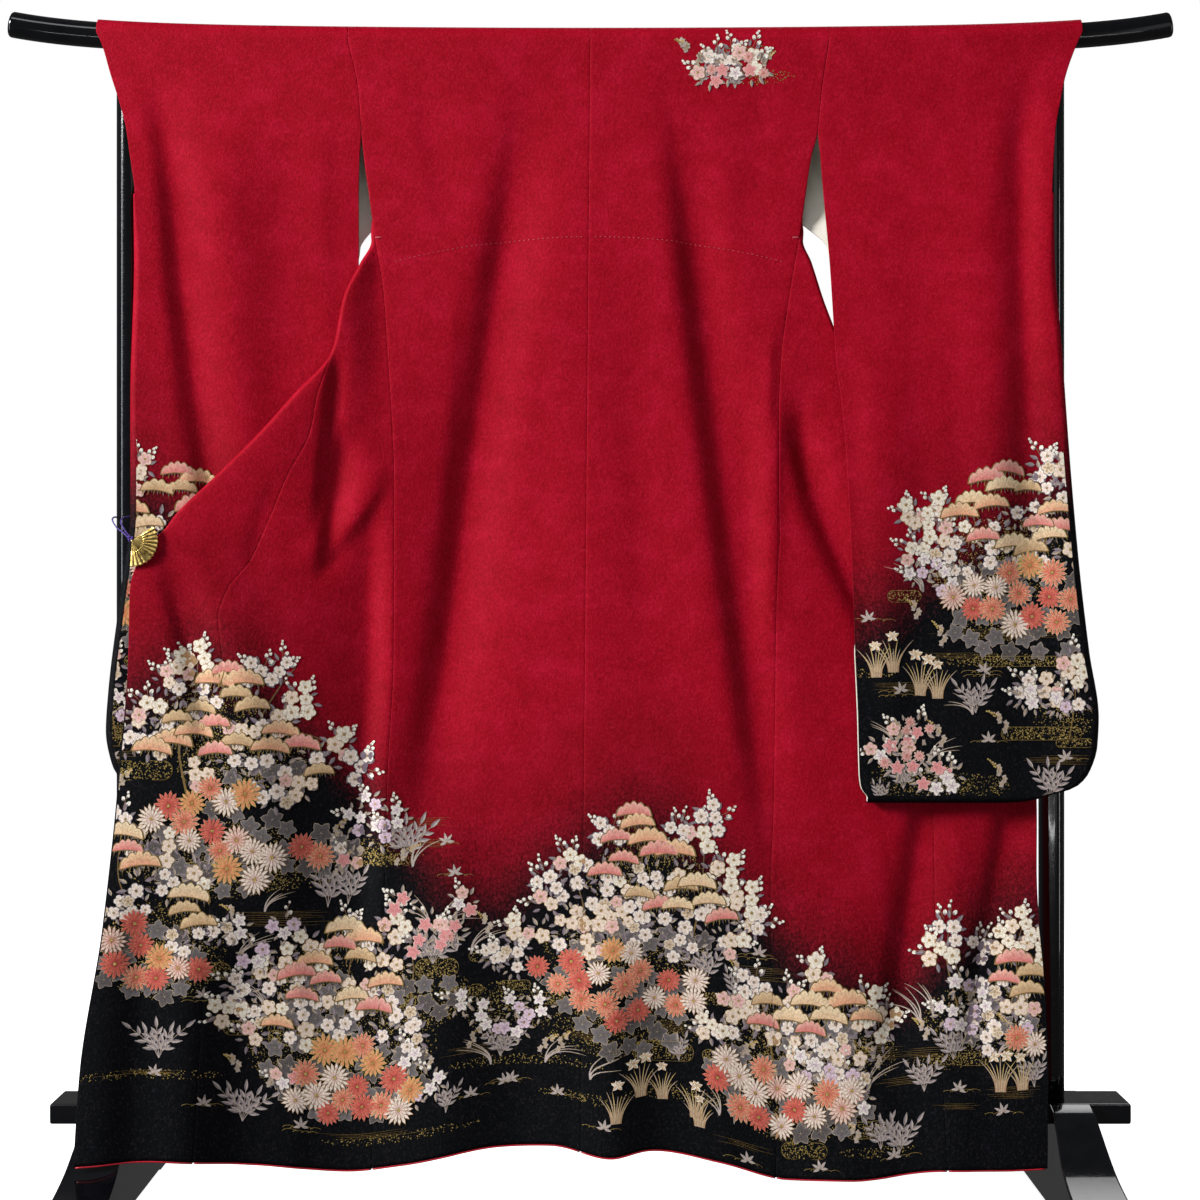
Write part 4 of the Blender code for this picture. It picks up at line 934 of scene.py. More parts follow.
def make_sleeve(name, side):
    """The strip, the bag and the bottom of a sleeve as one mesh, with what they share merged."""
    share = with_edges(np.zeros(1), np.full(1, SLEEVE_WIDTH), ACROSS_SLEEVE)[0] / SLEEVE_WIDTH

    def layer(heights, far):
        """Rows of points on one layer, from its inner to its outer edge."""
        heights = np.asarray(heights, float)[:, None]
        return sleeve_layer(side, share[None, :], np.repeat(heights, len(share), 1), far)

    upper = body_rows(HEM, POLE_HEIGHT)
    upper = np.concatenate([[WRIST_END], upper[upper > WRIST_END + 0.001]])
    round_foot = 1 - np.cos(np.linspace(0, np.pi / 2, 12))
    lower = np.concatenate([SLEEVE_FOOT + BAG_ROUND * round_foot,
                            rows_between(SLEEVE_FOOT + BAG_ROUND, WRIST_END, SLEEVE_ROW)[1:]])
    at_pole = layer([POLE_HEIGHT], False)[0]
    strip = np.concatenate([layer(upper, False), over_pole(at_pole[None, :, 0], POLE_ANGLES[1:-1, None]),
                            layer(upper[::-1], True)])
    near, far = layer(lower, False), layer(lower, True)
    turned = half_round(near[:, -1], far[:, -1], np.array([side, 0.0, 0.0]))[1:-1]
    bag = np.concatenate([near, turned.transpose(1, 0, 2), far[:, ::-1]], axis=1)
    lean_out = np.pi / 2 * share**8
    bottom = half_round(near[0], far[0], stacked(side * np.sin(lean_out), 0.0, -np.cos(lean_out)))
    grids = [strip, bag, bottom[::-1]]
    points, faces = merge_parts([(grid.reshape(-1, 3), grid_faces(*grid.shape[:2])) for grid in grids])
    _, first_of, number = np.unique(points.round(5), axis=0, return_index=True, return_inverse=True)
    faces = number.reshape(-1)[faces[:, ::side]]
    kept = points[first_of]
    distinct = (np.diff(np.sort(faces, axis=1), axis=1) > 0).all(axis=1)
    obj = add_mesh(name + "_silk", kept, faces[distinct], [crepe, sleeve_lining])
    dye_cloth(obj, dye_share(SLEEVE_BORDER, np.abs(kept[:, 0]), np.maximum(kept[:, 2], SLEEVE_FOOT)))
    finish_cloth(obj, name)


for side in SIDES:
    make_sleeve("sleeve_" + SIDES[side], side)

# %% [markdown]
# The design is the usual one of a formal furisode: flowers of all seasons grow on hills along the
# hem, in hand-painted dye and gold. A flower here is a small stamp: a flat mesh in millimetres, with
# a colour at each point and a lift, so that a petal can lie over the one below. The stamps are then
# laid on the cloth, where each point moves out along the cloth's own normal.

# %% Stamps
CREAM, WHITE, BLUSH = (247, 234, 210), (252, 246, 234), (246, 216, 206)
LILAC, PALE_LILAC, MAUVE = (212, 180, 206), (238, 216, 228), (128, 112, 126)
PEACH, SALMON, TAN = (238, 200, 160), (232, 144, 122), (188, 148, 108)
CORAL, ORANGE, DEEP_RED = (216, 82, 68), (222, 116, 76), (188, 50, 56)
ROSE, PINK = (226, 122, 124), (238, 168, 168)
GREY_LEAF, DARK_LEAF, BEIGE, BAMBOO = (148, 138, 144), (78, 70, 74), (194, 176, 156), (196, 182, 178)
GOLD, DARK_GOLD, BRANCH = (206, 180, 104), (136, 110, 58), (112, 88, 64)


def shades(start, end, share):
    """Colours from the start to the end, one for each share."""
    return linear(*start) + (linear(*end) - linear(*start)) * np.reshape(share, (-1, 1))


def two_rows(count):
    """Triangles between a row of count points and a second row, numbered on from it."""
    first = np.arange(count - 1)
    return np.concatenate([stacked(first, first + count, first + 1),
                           stacked(first + 1, first + count, first + count + 1)])


def stamp(points, lift, colours, faces, gold=False):
    """A piece of a stamp: points (n, 2) in mm, their lift and colours, triangles, and whether it is gold."""
    lift = np.broadcast_to(np.asarray(lift, float), len(points))
    return np.asarray(points, float), lift, colours, faces, np.full(len(faces), gold)


def joined(pieces):
    """Several stamps in one, with the numbers in their faces moved on."""
    points, lift, colours, faces, gold = zip(*pieces)
    starts = np.cumsum([0] + [len(part) for part in points[:-1]])
    faces = [part + start for part, start in zip(faces, starts)]
    return tuple(np.concatenate(parts) for parts in (points, lift, colours, faces, gold))


def placed_stamp(made, place=(0.0, 0.0), angle=0.0, size=1.0, lift=0.0):
    """The stamp turned by the angle, scaled, and moved to the place."""
    points, own_lift, *rest = made
    turn = np.array([[math.cos(angle), math.sin(angle)], [-math.sin(angle), math.cos(angle)]])
    return points @ turn * size + np.asarray(place, float), own_lift + lift, *rest


def fan_shape(outline, lift, rim_colour, heart_colour=None, middle=(0.0, 0.0), gold=False):
    """Triangles from a middle point to a closed outline, shaded from the heart's colour to the rim's."""
    count = len(outline)
    first = np.arange(count)
    colours = shades(rim_colour, heart_colour or rim_colour, np.arange(count + 1) == count)
    faces = stacked(count, first, np.roll(first, -1))
    return stamp(np.concatenate([outline, [middle]]), lift, colours, faces, gold)


def ribbon(path, width, lift, start_colour, end_colour, gold=False):
    """A line of that width along a path; the width may change from point to point."""
    path = np.asarray(path, float)
    way = unit(np.gradient(path, axis=0))
    across = stacked(-way[:, 1], way[:, 0]) * np.broadcast_to(width, len(path))[:, None] / 2
    colours = shades(start_colour, end_colour, np.linspace(0, 1, len(path)))
    return stamp(np.concatenate([path + across, path - across]), lift, np.concatenate([colours, colours]),
                 two_rows(len(path)), gold)


def around(count, radius, phase=0.0, squash=1.0):
    """Points of a circle, or of an oval if it is squashed."""
    return polar(radius, phase + np.linspace(0, 2 * np.pi, count, endpoint=False)) * (1.0, squash)


def star(points, radius, even, odd, phase=np.pi / 2):
    """The outline of a star, whose corners lie by turns at the even and the odd share of its radius."""
    share = np.where(np.arange(2 * points) % 2, odd, even)
    return around(2 * points, radius, phase) * share[:, None]


print("stamp helpers ready")

# %% [markdown]
# Plum blossoms have five round petals, and cherry blossoms five notched ones. In paste-resist dyeing
# a fine line is left round the petals, so they lie on one lobed outline in a darker colour. A star of
# gold stamens is painted last. A blossom is used hundreds of times, so each oval has few corners.

# %% Blossoms
def blossom(radius, petal_colour, heart_colour, line_colour, notch=0.0):
    """Five ovals set at 0.59 radius over an outline whose radius is 0.66 + 0.40 sqrt|cos 2.5a|."""
    angle = np.linspace(0, 2 * np.pi, 25, endpoint=False)
    rim = polar(radius * (0.66 + 0.40 * np.sqrt(np.abs(np.cos(2.5 * angle)))), angle + np.pi / 2)
    turn = np.linspace(0, 2 * np.pi, 9, endpoint=False)
    reach = 0.43 * radius * np.where(turn == 0, 1 - notch, 1.0)
    petal = stacked(0.59 * radius + reach * np.cos(turn), 0.39 * radius * np.sin(turn))
    petal = fan_shape(petal, 0.08, petal_colour, heart_colour, (0.34 * radius, 0.0))
    return joined([fan_shape(rim, 0.0, line_colour),
                   *(placed_stamp(petal, angle=np.pi / 2 + 2 * np.pi * i / 5) for i in range(5)),
                   fan_shape(star(5, radius, 0.08, 0.34), 0.16, GOLD, TAN, gold=True)])


def bud(radius, colour, calyx_colour):
    """A closed bud: a drop with a small dark calyx under it."""
    middle = (0.0, 1.2 * radius)
    calyx = np.array([(-0.6, 0.5), (0.0, -0.4), (0.6, 0.5), (0.0, 0.75)]) * radius
    return joined([fan_shape(around(7, radius, np.pi / 2, 1.3) + middle, 0.08, colour, middle=middle),
                   fan_shape(calyx, 0.14, calyx_colour, middle=(0.0, 0.2 * radius))])


def bud_stem(length, count, colour, rng):
    """A thin stem with buds on alternate sides, smaller and closer to it towards its tip."""
    bend = rng.uniform(-0.25, 0.25) * length
    t = np.linspace(0, 1, 4)
    pieces = [ribbon(stacked(bend * t**2, length * t), 0.8 - 0.4 * t, 0.0, BRANCH, TAN)]
    for i, share in enumerate(np.linspace(0.30, 1.0, count)):
        way = (-1) ** i * (1 - share)
        place = (bend * share**2 + 5.0 * way, length * share)
        pieces.append(placed_stamp(bud(3.3 - 1.5 * share, colour, GREY_LEAF), place, -0.8 * way))
    return joined(pieces)


plum_white = blossom(11.2, WHITE, CREAM, TAN)
plum_cream = blossom(11.2, CREAM, BLUSH, TAN)
plum_blush = blossom(10.5, BLUSH, PINK, TAN)
cherry_white = blossom(11.0, WHITE, BLUSH, MAUVE, 0.22)
cherry_cream = blossom(10.6, CREAM, TAN, MAUVE, 0.22)
cherry_lilac = blossom(10.5, PALE_LILAC, LILAC, MAUVE, 0.22)
print("a blossom has", len(plum_white[3]), "triangles")

# %% [markdown]
# A chrysanthemum has two rings of long petals, and the inner ring is smaller and brighter. Each petal
# lies on a slightly wider one in gold, which leaves a gold line between neighbours. A bellflower is a
# five-pointed star, and the daisy is a plain small flower that fills gaps.

# %% Chrysanthemums, bellflowers and daisies
def long_petal(length, width, lift, base_colour, tip_colour):
    """Six corners in a fan from the base, widest at three quarters of the length, shaded to the tip."""
    share = np.array([(0.08, 0.0), (0.45, 0.36), (0.76, 0.50), (1.0, 0.0), (0.76, -0.50), (0.45, -0.36)])
    first = np.arange(1, 5)
    colours = shades(base_colour, tip_colour, np.clip(share[:, 0] * 1.1, 0, 1))
    return stamp(share * (length, width), lift, colours, stacked(0, first, first + 1))


def chrysanthemum(radius, tip_colour, base_colour, line_colour, petals=16):
    """Two rings of long petals on wider ones in the line's colour, and a round heart."""
    pieces = []
    for count, share, lift in ((petals, 1.0, 0.0), (petals - 4, 0.66, 0.20)):
        width = 3.9 * radius * share / count
        for i in range(count):
            angle = 2 * np.pi * (i + 0.5 * (lift > 0)) / count
            length = radius * share * (0.94 + 0.12 * ((i * 7) % 5) / 4)
            own = lift + 0.03 * (i % 3)
            line = long_petal(1.04 * length, width, own, line_colour, line_colour)
            petal = long_petal(0.98 * length, 0.76 * width, own + 0.09, base_colour, tip_colour)
            pieces += [placed_stamp(line, angle=angle), placed_stamp(petal, angle=angle)]
    pieces.append(fan_shape(around(6, 0.12 * radius), 0.48, GOLD, gold=True))
    return joined(pieces)


def bellflower(radius, colour, heart_colour, line_colour):
    """A star of five broad points: the radius swings between 1 and 0.58 of its length."""
    swing = np.array([1.0, 0.84, 0.58, 0.84] * 5)[:, None]
    outline = around(20, radius, np.pi / 2) * swing
    return joined([fan_shape(outline * 1.10, 0.0, line_colour),
                   fan_shape(outline, 0.10, colour, heart_colour),
                   fan_shape(star(5, radius, 0.70, 0.06), 0.16, line_colour, heart_colour)])


mum_coral = chrysanthemum(20.0, (238, 146, 118), CORAL, PEACH)
mum_orange = chrysanthemum(20.5, (240, 172, 122), ORANGE, GOLD, 15)
mum_red = chrysanthemum(19.0, (224, 108, 90), DEEP_RED, SALMON)
mum_white = chrysanthemum(20.0, WHITE, (240, 192, 182), TAN, 17)
mum_blush = chrysanthemum(19.5, (250, 228, 218), SALMON, TAN, 17)
daisy_pink = chrysanthemum(9.5, PINK, ROSE, CREAM, 10)
bell_lilac = bellflower(11.0, PALE_LILAC, LILAC, MAUVE)
bell_white = bellflower(11.0, WHITE, PALE_LILAC, MAUVE)
bell_pink = bellflower(11.0, PINK, ROSE, BLUSH)
print("a chrysanthemum has", len(mum_coral[3]), "triangles")

# %% [markdown]
# Pine grows in flat clouds, one tier above the other: a scalloped crescent, shaded from a pale top to
# a deeper foot, with fine gold needles that spread from the middle. Under it hangs a dark fringe of
# needles with gold tips.

# %% Pine
def pine_cloud(width, height, top_colour, foot_colour, lobes=5):
    """A flat cloud: its upper arch sin(pi t)^0.5 swings with the lobes, its lower one is 0.22 sin(pi t)."""
    t = np.linspace(0, 1, 5 * lobes + 1)
    lobe = 0.86 + 0.24 * np.abs(np.sin(np.pi * t * lobes))
    top = stacked(width * (t - 0.5) * (0.96 + 0.04 * lobe), height * np.sin(np.pi * t) ** 0.5 * lobe)
    low_t = np.linspace(0.06, 0.94, 10)
    low_x, low_height = width * (low_t - 0.5), height * (0.22 * np.sin(np.pi * low_t) - 0.06)
    pieces = []
    for i, share in enumerate(np.linspace(0.06, 0.94, 17)):
        start = (width * (share - 0.5), height * (0.20 * math.sin(math.pi * share) + 0.05))
        fall = height * (0.42 + 0.16 * math.cos(1.7 * i))
        tip = (1.10 * start[0] + 1.5 * math.cos(2.3 * i), start[1] - fall)
        tip_colour = (DARK_GOLD, GOLD, GREY_LEAF)[i % 3]
        pieces.append(ribbon([start, tip], [1.5, 0.3], 0.0, DARK_LEAF, tip_colour, i % 3 < 2))
    for lift, grow, low, high in ((0.06, 1.07, DARK_GOLD, DARK_GOLD), (0.14, 1.0, foot_colour, top_colour)):
        outer = top * grow
        under = stacked(np.interp(t, low_t, low_x), np.interp(t, low_t, low_height - (grow - 1) * height))
        under[[0, -1], 0] = outer[[0, -1], 0]
        colours = shades(high, low, np.repeat([0.0, 1.0], len(t)))
        pieces.append(stamp(np.concatenate([outer, under]), lift, colours, two_rows(len(t))))
    for share in np.linspace(0.12, 0.88, 9):
        tip = (width * (share - 0.5), 0.90 * height * math.sin(math.pi * share) ** 0.5)
        pieces.append(ribbon([(0.45 * tip[0], 0.34 * height), tip], [0.2, 0.4], 0.22, foot_colour, GOLD))
    return joined(pieces)


pine_cream = pine_cloud(43.0, 15.5, (248, 228, 192), PEACH)
pine_peach = pine_cloud(44.0, 16.0, (246, 212, 172), (236, 166, 132))
pine_pink = pine_cloud(41.0, 15.0, (246, 186, 176), (226, 128, 122))
pine_tan = pine_cloud(38.0, 14.0, (236, 208, 168), (206, 166, 124), 4)
print("a pine cloud has", len(pine_cream[3]), "triangles")

# %% [markdown]
# Leaves hold the flowers together. Bamboo grass has narrow leaves in pairs, the iris stands in
# upright blades, bush clover has round leaves in threes, and long grass blades arch over the edges.

# %% Leaves and grasses
LOBES = 5


def leaf(length, width, dark_colour, light_colour, line_colour, lift=0.0):
    """A pointed oval in two halves, darker on one side of its midrib: the half width is sin(pi t^0.8)."""
    t = np.linspace(0, 1, 5)
    path = stacked(length * t, 0.0)
    half = stacked(0.0, 0.5 * width * np.sin(np.pi * t**0.8))
    first = np.arange(4)
    faces = np.concatenate([stacked(first, first + 1, first + 6), stacked(first, first + 6, first + 5)])
    halves = [stamp(np.concatenate(rows), lift, shades(colour, colour, np.zeros(10)), faces)
              for rows, colour in (((path, path + half), dark_colour), ((path - half, path), light_colour))]
    return joined(halves + [ribbon(path[[0, 3]], 0.35, lift + 0.05, line_colour, line_colour, True)])


def bamboo_grass(stems, length, rng):
    """A few stems that spread from one foot, each with pairs of narrow leaves and one at its tip."""
    pieces = []
    t = np.linspace(0, 1, 5)
    for i in range(stems):
        lean_way = (i - (stems - 1) / 2) * 0.42 + rng.uniform(-0.08, 0.08)
        tall = length * rng.uniform(0.8, 1.0)
        pieces.append(ribbon(stacked(tall * lean_way * t**1.4, tall * t), 0.8 - 0.3 * t, 0.0, BAMBOO, BEIGE))
        for share, reach in ((0.30, 0.9), (0.54, 1.0), (0.78, 0.8), (1.0, 1.0)):
            at = (tall * lean_way * share**1.4, tall * share)
            one = leaf(0.40 * length * reach, 0.115 * length, GREY_LEAF, BAMBOO, BEIGE, 0.06)
            for way in (-1, 1) if share < 1 else (0,):
                pieces.append(placed_stamp(one, at, np.pi / 2 - lean_way - way * 0.62))
    return joined(pieces)


def grass_blade(length, bend, colour, tip_colour):
    """One arching blade: its line is (bend t^2, t), and it narrows to its tip."""
    t = np.linspace(0, 1, 9)
    path = length * stacked(bend * t**2, t * (1 - 0.25 * abs(bend) * t))
    return ribbon(path, 1.9 * (1 - t) ** 0.7 + 0.25, 0.0, colour, tip_colour)


def iris(height, flowers, rng):
    """Upright blades in a tuft, and white heads with falling petals above them."""
    pieces = []
    for i in range(9):
        bend = (i - 4) * 0.10 + rng.uniform(-0.03, 0.03)
        blade = grass_blade(height * rng.uniform(0.7, 1.05), bend, (TAN, BEIGE)[i % 2], (BEIGE, GOLD)[i % 2])
        pieces.append(placed_stamp((blade[0] * (1.25, 1.0), *blade[1:]), (1.5 * (i - 4), 0), lift=0.02 * i))
    for i in range(flowers):
        at = ((i - (flowers - 1) / 2) * 0.36 * height, height * rng.uniform(0.95, 1.15))
        for angle, share in ((0.4, 1.0), (np.pi - 0.4, 1.0), (1.1, 0.8), (2.0, 0.8), (-0.8, 0.9),
                             (np.pi + 0.8, 0.9)):
            petal = leaf(0.22 * height * share, 0.12 * height, WHITE, PEACH, GOLD, 0.25)
            pieces.append(placed_stamp(petal, at, angle))
    return joined(pieces)


def bush_clover(length, rng):
    """An arching stem with round leaves in threes, and a spike of small flowers at its tip."""
    bend = rng.uniform(0.3, 0.7) * rng.choice([-1, 1])
    t = np.linspace(0, 1, 7)
    path = length * stacked(bend * t**2, t * (1 - 0.2 * t))
    pieces = [ribbon(path, 0.8 - 0.4 * t, 0.0, GREY_LEAF, DARK_GOLD)]

    def on_stem(share):
        """The point at this share of the stem."""
        return np.array([np.interp(share, t, path[:, 0]), np.interp(share, t, path[:, 1])])

    for i, share in enumerate(np.linspace(0.15, 0.70, 4)):
        for spread in (-0.9, 0.0, 0.9):
            angle = (0.25 if i % 2 else np.pi - 0.25) + spread
            pieces.append(placed_stamp(leaf(7.0, 5.6, BAMBOO, BEIGE, GOLD, 0.06), on_stem(share), angle))
    for i, share in enumerate(np.linspace(0.66, 1.0, 12)):
        aside = (1.15 - share) * 6.5 * (-1) ** i
        flower = fan_shape(around(5, 1.35), 0.10, (PEACH, GOLD)[i % 2], GOLD, gold=i % 2 > 0)
        pieces.append(placed_stamp(flower, on_stem(share) + (aside, rng.uniform(-0.8, 0.8))))
    return joined(pieces)


def lobed_leaf(radius, dark_colour, light_colour):
    """A leaf with rounded lobes and veins, on a pale outline: its radius is 0.80 + 0.20 cos(lobes angle)."""
    angle = np.linspace(0, 2 * np.pi, 4 * LOBES, endpoint=False)
    outline = polar(radius * (0.80 + 0.20 * np.cos(LOBES * angle)), angle)
    return joined([fan_shape(outline * 1.06, 0.0, BEIGE),
                   fan_shape(outline, 0.06, dark_colour, light_colour),
                   fan_shape(star(LOBES, radius, 0.80, 0.05, 0.0), 0.12, light_colour, BEIGE)])


def star_leaf(radius, colour, line_colour):
    """A small fallen maple leaf: five narrow points that spread from its stalk."""
    return joined([placed_stamp(leaf(radius * share, 0.30 * radius, colour, colour, line_colour), angle=angle)
                   for angle, share in ((-0.2, 0.8), (0.7, 0.95), (1.57, 1.0), (2.44, 0.95), (3.34, 0.8))])


leaf_mauve = leaf(13.0, 5.4, MAUVE, GREY_LEAF, BEIGE)
leaf_beige = leaf(12.0, 5.0, GREY_LEAF, BEIGE, GOLD)
leaf_round = lobed_leaf(14.0, (126, 120, 122), (88, 82, 84))
leaf_dark = lobed_leaf(15.0, (104, 98, 98), (70, 64, 66))
star_grey = star_leaf(12.0, BAMBOO, BEIGE)
print("leaves ready")

# %% [markdown]
# A painter doesn't set blossoms one by one: they come in sprays of a few, close together, with
# leaflets that point outward and a stem or two of buds above. A handful of different sprays is enough,
# since each is turned when it is used. Their places follow a sunflower's spiral, 12 mm times the
# square root of the count, which keeps neighbours a blossom's width apart.

# %% Sprays
SPIRAL_TURN = 2.4
SPIRAL_STEP = 12.0

spray_rng = np.random.default_rng(5)


def spray(kinds, count, leaves, stems):
    """Leaflets outside, bud stems towards the top, and blossoms on a spiral over them."""
    rng = spray_rng
    pieces, phase, reach = [], rng.uniform(0, 2 * np.pi), 6.0 + 5.6 * math.sqrt(count)
    for angle in rng.uniform(0, 0.8) + np.linspace(0, 2 * np.pi, 8, endpoint=False):
        at = polar(reach * rng.uniform(0.75, 1.1), angle)
        one = leaves[rng.integers(len(leaves))]
        pieces.append(placed_stamp(one, at, angle + rng.uniform(-0.4, 0.4), rng.uniform(0.8, 1.1)))
    for i in range(stems):
        lean_way = rng.uniform(0.1, 0.8) * (-1) ** i
        stem = bud_stem(rng.uniform(17, 25), rng.integers(3, 6), WHITE, rng)
        pieces.append(placed_stamp(stem, polar(reach * 0.9, lean_way + np.pi / 2), lean_way, lift=0.05))
    for i in range(count):
        at = polar(SPIRAL_STEP * math.sqrt(i + 0.35), phase + SPIRAL_TURN * i) * (1.0, 0.9)
        one = kinds[rng.integers(len(kinds))]
        pieces.append(placed_stamp(one, at, rng.uniform(0, 6), rng.uniform(0.84, 1.02), 0.12 + 0.05 * i))
    return joined(pieces)


CHERRIES = [cherry_white, cherry_white, cherry_cream]
PLUMS = [plum_white, plum_cream, plum_white, plum_blush]
TALL_SPRAYS = [spray((CHERRIES, PLUMS)[i % 2], 2 + i % 3, [leaf_mauve], 2) for i in range(8)]
SPRAYS = [spray((CHERRIES, PLUMS, CHERRIES)[i % 3], 1 + i % 4, [leaf_mauve, leaf_beige], 0) for i in range(9)]
LILACS = [spray([bell_lilac, bell_white, cherry_lilac], 2 + i % 2, [leaf_beige], 1) for i in range(6)]
PINKS = [spray([bell_pink, bell_white, plum_blush, daisy_pink], 2 + i % 2, [leaf_beige], 1) for i in range(6)]
print("sprays of", [len(made[3]) for made in TALL_SPRAYS], "triangles")

# %% [markdown]
# A canvas is a stretch of cloth to paint on: it turns a place on the plan into a point and a normal.
# The normal is the cross product of two short steps on the cloth. Stamps are gathered first, as flat
# meshes in millimetres on the plan, and then all of them are laid on the cloth at once.

# %% Canvases
NORMAL_STEP = 0.0006
PAINT_GAP = CLOTH_THICKNESS / 2 + 0.00035
SMALLEST_FACE = 2e-9


def sleeve_edges(side, height, far=False):
    """The inner edge of a sleeve, and its outer edge less half of what parts its two layers."""
    sleeve = SLEEVE[side]
    half_apart = (read(sleeve, "far_out", height) - read(sleeve, "near_out", height)) / 2
    return read(sleeve, "inner", height), read(sleeve, "far_edge" if far else "outer", height) - half_apart


def sleeve_cloth(side, far):
    """The surface of a sleeve's layer, for places on the plan below its seam."""
    def surface(x, height):
        inner, outer = sleeve_edges(side, height, far)
        inner = inner + SEAM_GAP / 2
        return sleeve_layer(side, np.clip((np.abs(x) - inner) / (outer - inner), 0.0, 1.0), height, far)

    return surface


def sleeve_limits(side):
    """The lowest and highest x that may be painted on a sleeve."""
    def limits(height):
        inner, outer = sleeve_edges(side, height)
        return np.sort([side * (inner + 0.0015), side * (outer - 0.001)], axis=0)

    return limits


def body_limits(height):
    """The x of the left and of the right front edge, just inside them."""
    return [side * (side_seam(side, height) + read(FRONT[side], "edge", height) - 0.002) for side in SIDES]


class Canvas:
    """Stamps gathered for one stretch of cloth; a place on its plan is (x, height) in millimetres."""

    def __init__(self, name, surface, limits, foot, facing=1.0):
        self.name, self.surface, self.limits, self.foot, self.facing = name, surface, limits, foot, facing
        self.stamps = []

    def add(self, made, x, height, angle=0.0, size=1.0, lift=0.0):
        self.stamps.append(placed_stamp(made, (x, height), angle, size, lift))

    def lay(self, cloth):
        """One mesh from all the stamps, on the cloth: point + normal (gap + lift)."""
        points, lift, colours, faces, gold = joined(self.stamps)
        height = np.maximum(points[:, 1] / 1000, self.foot)
        x = np.clip(points[:, 0] / 1000, *self.limits(height))
        across = self.surface(x + NORMAL_STEP, height) - self.surface(x - NORMAL_STEP, height)
        up = self.surface(x, height + NORMAL_STEP) - self.surface(x, height - NORMAL_STEP)
        normal = unit(np.cross(across, up)) * self.facing
        laid = self.surface(x, height) + normal * (PAINT_GAP + lift / 1000)[:, None]
        square = np.cross(laid[faces[:, 1]] - laid[faces[:, 0]], laid[faces[:, 2]] - laid[faces[:, 0]])
        wide = np.linalg.norm(square, axis=1) > SMALLEST_FACE
        turned = np.einsum("ij,ij->i", square, normal[faces[:, 0]]) < 0
        faces = np.where(turned[:, None], faces[:, ::-1], faces)[wide]
        obj = add_mesh(self.name, laid, faces, painted)
        obj.data.polygons.foreach_set("material_index", gold[wide].astype(np.int32))
        shade = obj.data.color_attributes.new("paint", "FLOAT_COLOR", "POINT")
        colours = np.concatenate([colours, np.ones((len(colours), 1))], axis=1)
        shade.data.foreach_set("color", colours.astype(np.float32).ravel())
        on_cloth.setdefault(cloth, []).append(obj)
        print(f"{self.name}: {len(faces)} triangles")


on_cloth = {}
print("canvases ready")

# %% [markdown]
# A hill is filled kind by kind. Places are thrown at random into a few ellipses, with a fixed seed,
# and one that falls too near to an earlier one is dropped. So the flowers crowd without piling up,
# as a painter would space them, and the same hill comes out on every run. Each stamp gets a height
# of its own in its layer, since two that lie in the same plane would flicker where they cross.

# %% Scattering
GOLDEN = 0.618
TRIES = 900
FLECK_ROOM = 13.0
POOL_FLECK_ROOM = 6.5


def thrown(rng, ellipses, count, power):
    """Random places in ellipses (x, height, half width, half height), at a share^power of their radius."""
    ellipses = np.array(ellipses, float)
    share = ellipses[:, 2] * ellipses[:, 3]
    which = rng.choice(len(ellipses), count, p=share / share.sum())
    spread = polar(rng.random(count) ** power, rng.random(count) * 2 * np.pi)
    return ellipses[which, :2] + spread * ellipses[which, 2:]


def own_lift(lift, i):
    """A lift for the stamp with this number, up to 0.2 mm above its layer."""
    return lift + 0.2 * ((i * GOLDEN) % 1)


def strew(canvas, rng, kinds, ellipses, spacing, lift):
    """Stamps of these kinds, picked and turned at random, over the ellipses and a spacing apart."""
    kept = np.empty((0, 2))
    for place in thrown(rng, ellipses, TRIES, 0.5):
        if ((kept - place) ** 2).sum(axis=1).min(initial=np.inf) > spacing**2:
            kept = np.concatenate([kept, place[None]])
    for i, place in enumerate(kept):
        one = kinds[rng.integers(len(kinds))]
        canvas.add(one, *place, rng.uniform(-np.pi, np.pi), rng.uniform(0.86, 1.08), own_lift(lift, i))


def flecks(canvas, rng, places, smallest=0.5, largest=1.3):
    """Flecks of cut gold leaf: a small turned diamond at each place, in slightly different tones."""
    count = len(places)
    size, angle = rng.uniform(smallest, largest, (count, 1)), rng.uniform(0, np.pi, count)
    one = polar(1.0, angle) * size
    two = polar(0.75, angle + np.pi / 2) * size
    corners = np.stack([places + one, places + two, places - one, places - two], axis=1).reshape(-1, 2)
    first = np.arange(count) * 4
    faces = np.concatenate([stacked(first, first + 1, first + 2), stacked(first, first + 2, first + 3)])
    tone = rng.uniform(0.45, 1.0, (count, 1)) * linear(*GOLD)
    canvas.stamps.append(stamp(corners, 0.02, np.repeat(tone, 4, axis=0), faces, True))


def gold_cloud(canvas, rng, ellipses):
    """Flecks thrown over ellipses, one for so many square millimetres, thinner towards their rims."""
    count = int(np.pi * sum(wide * tall for _, _, wide, tall in ellipses) / FLECK_ROOM)
    flecks(canvas, rng, thrown(rng, ellipses, count, 0.62))


def gold_pool(canvas, rng, x, height, width, thickness):
    """A flat pool of mist: flecks inside a rounded outline in fine gold."""
    half, tall = width / 2, thickness / 2
    places = rng.uniform(-1, 1, (int(width * thickness / POOL_FLECK_ROOM), 2)) * (half, tall)
    inside = np.hypot(np.maximum(np.abs(places[:, 0]) - half + tall, 0), places[:, 1]) < tall - 0.8
    flecks(canvas, rng, places[inside] + (x, height), 0.6, 1.4)
    t = np.linspace(0, 2 * np.pi, 41)
    outline = polar(tall, t) + np.sign(np.cos(t))[:, None] * (half - tall, 0)
    canvas.stamps.append(ribbon(outline + (x, height), 0.5, 0.05, GOLD, DARK_GOLD, True))


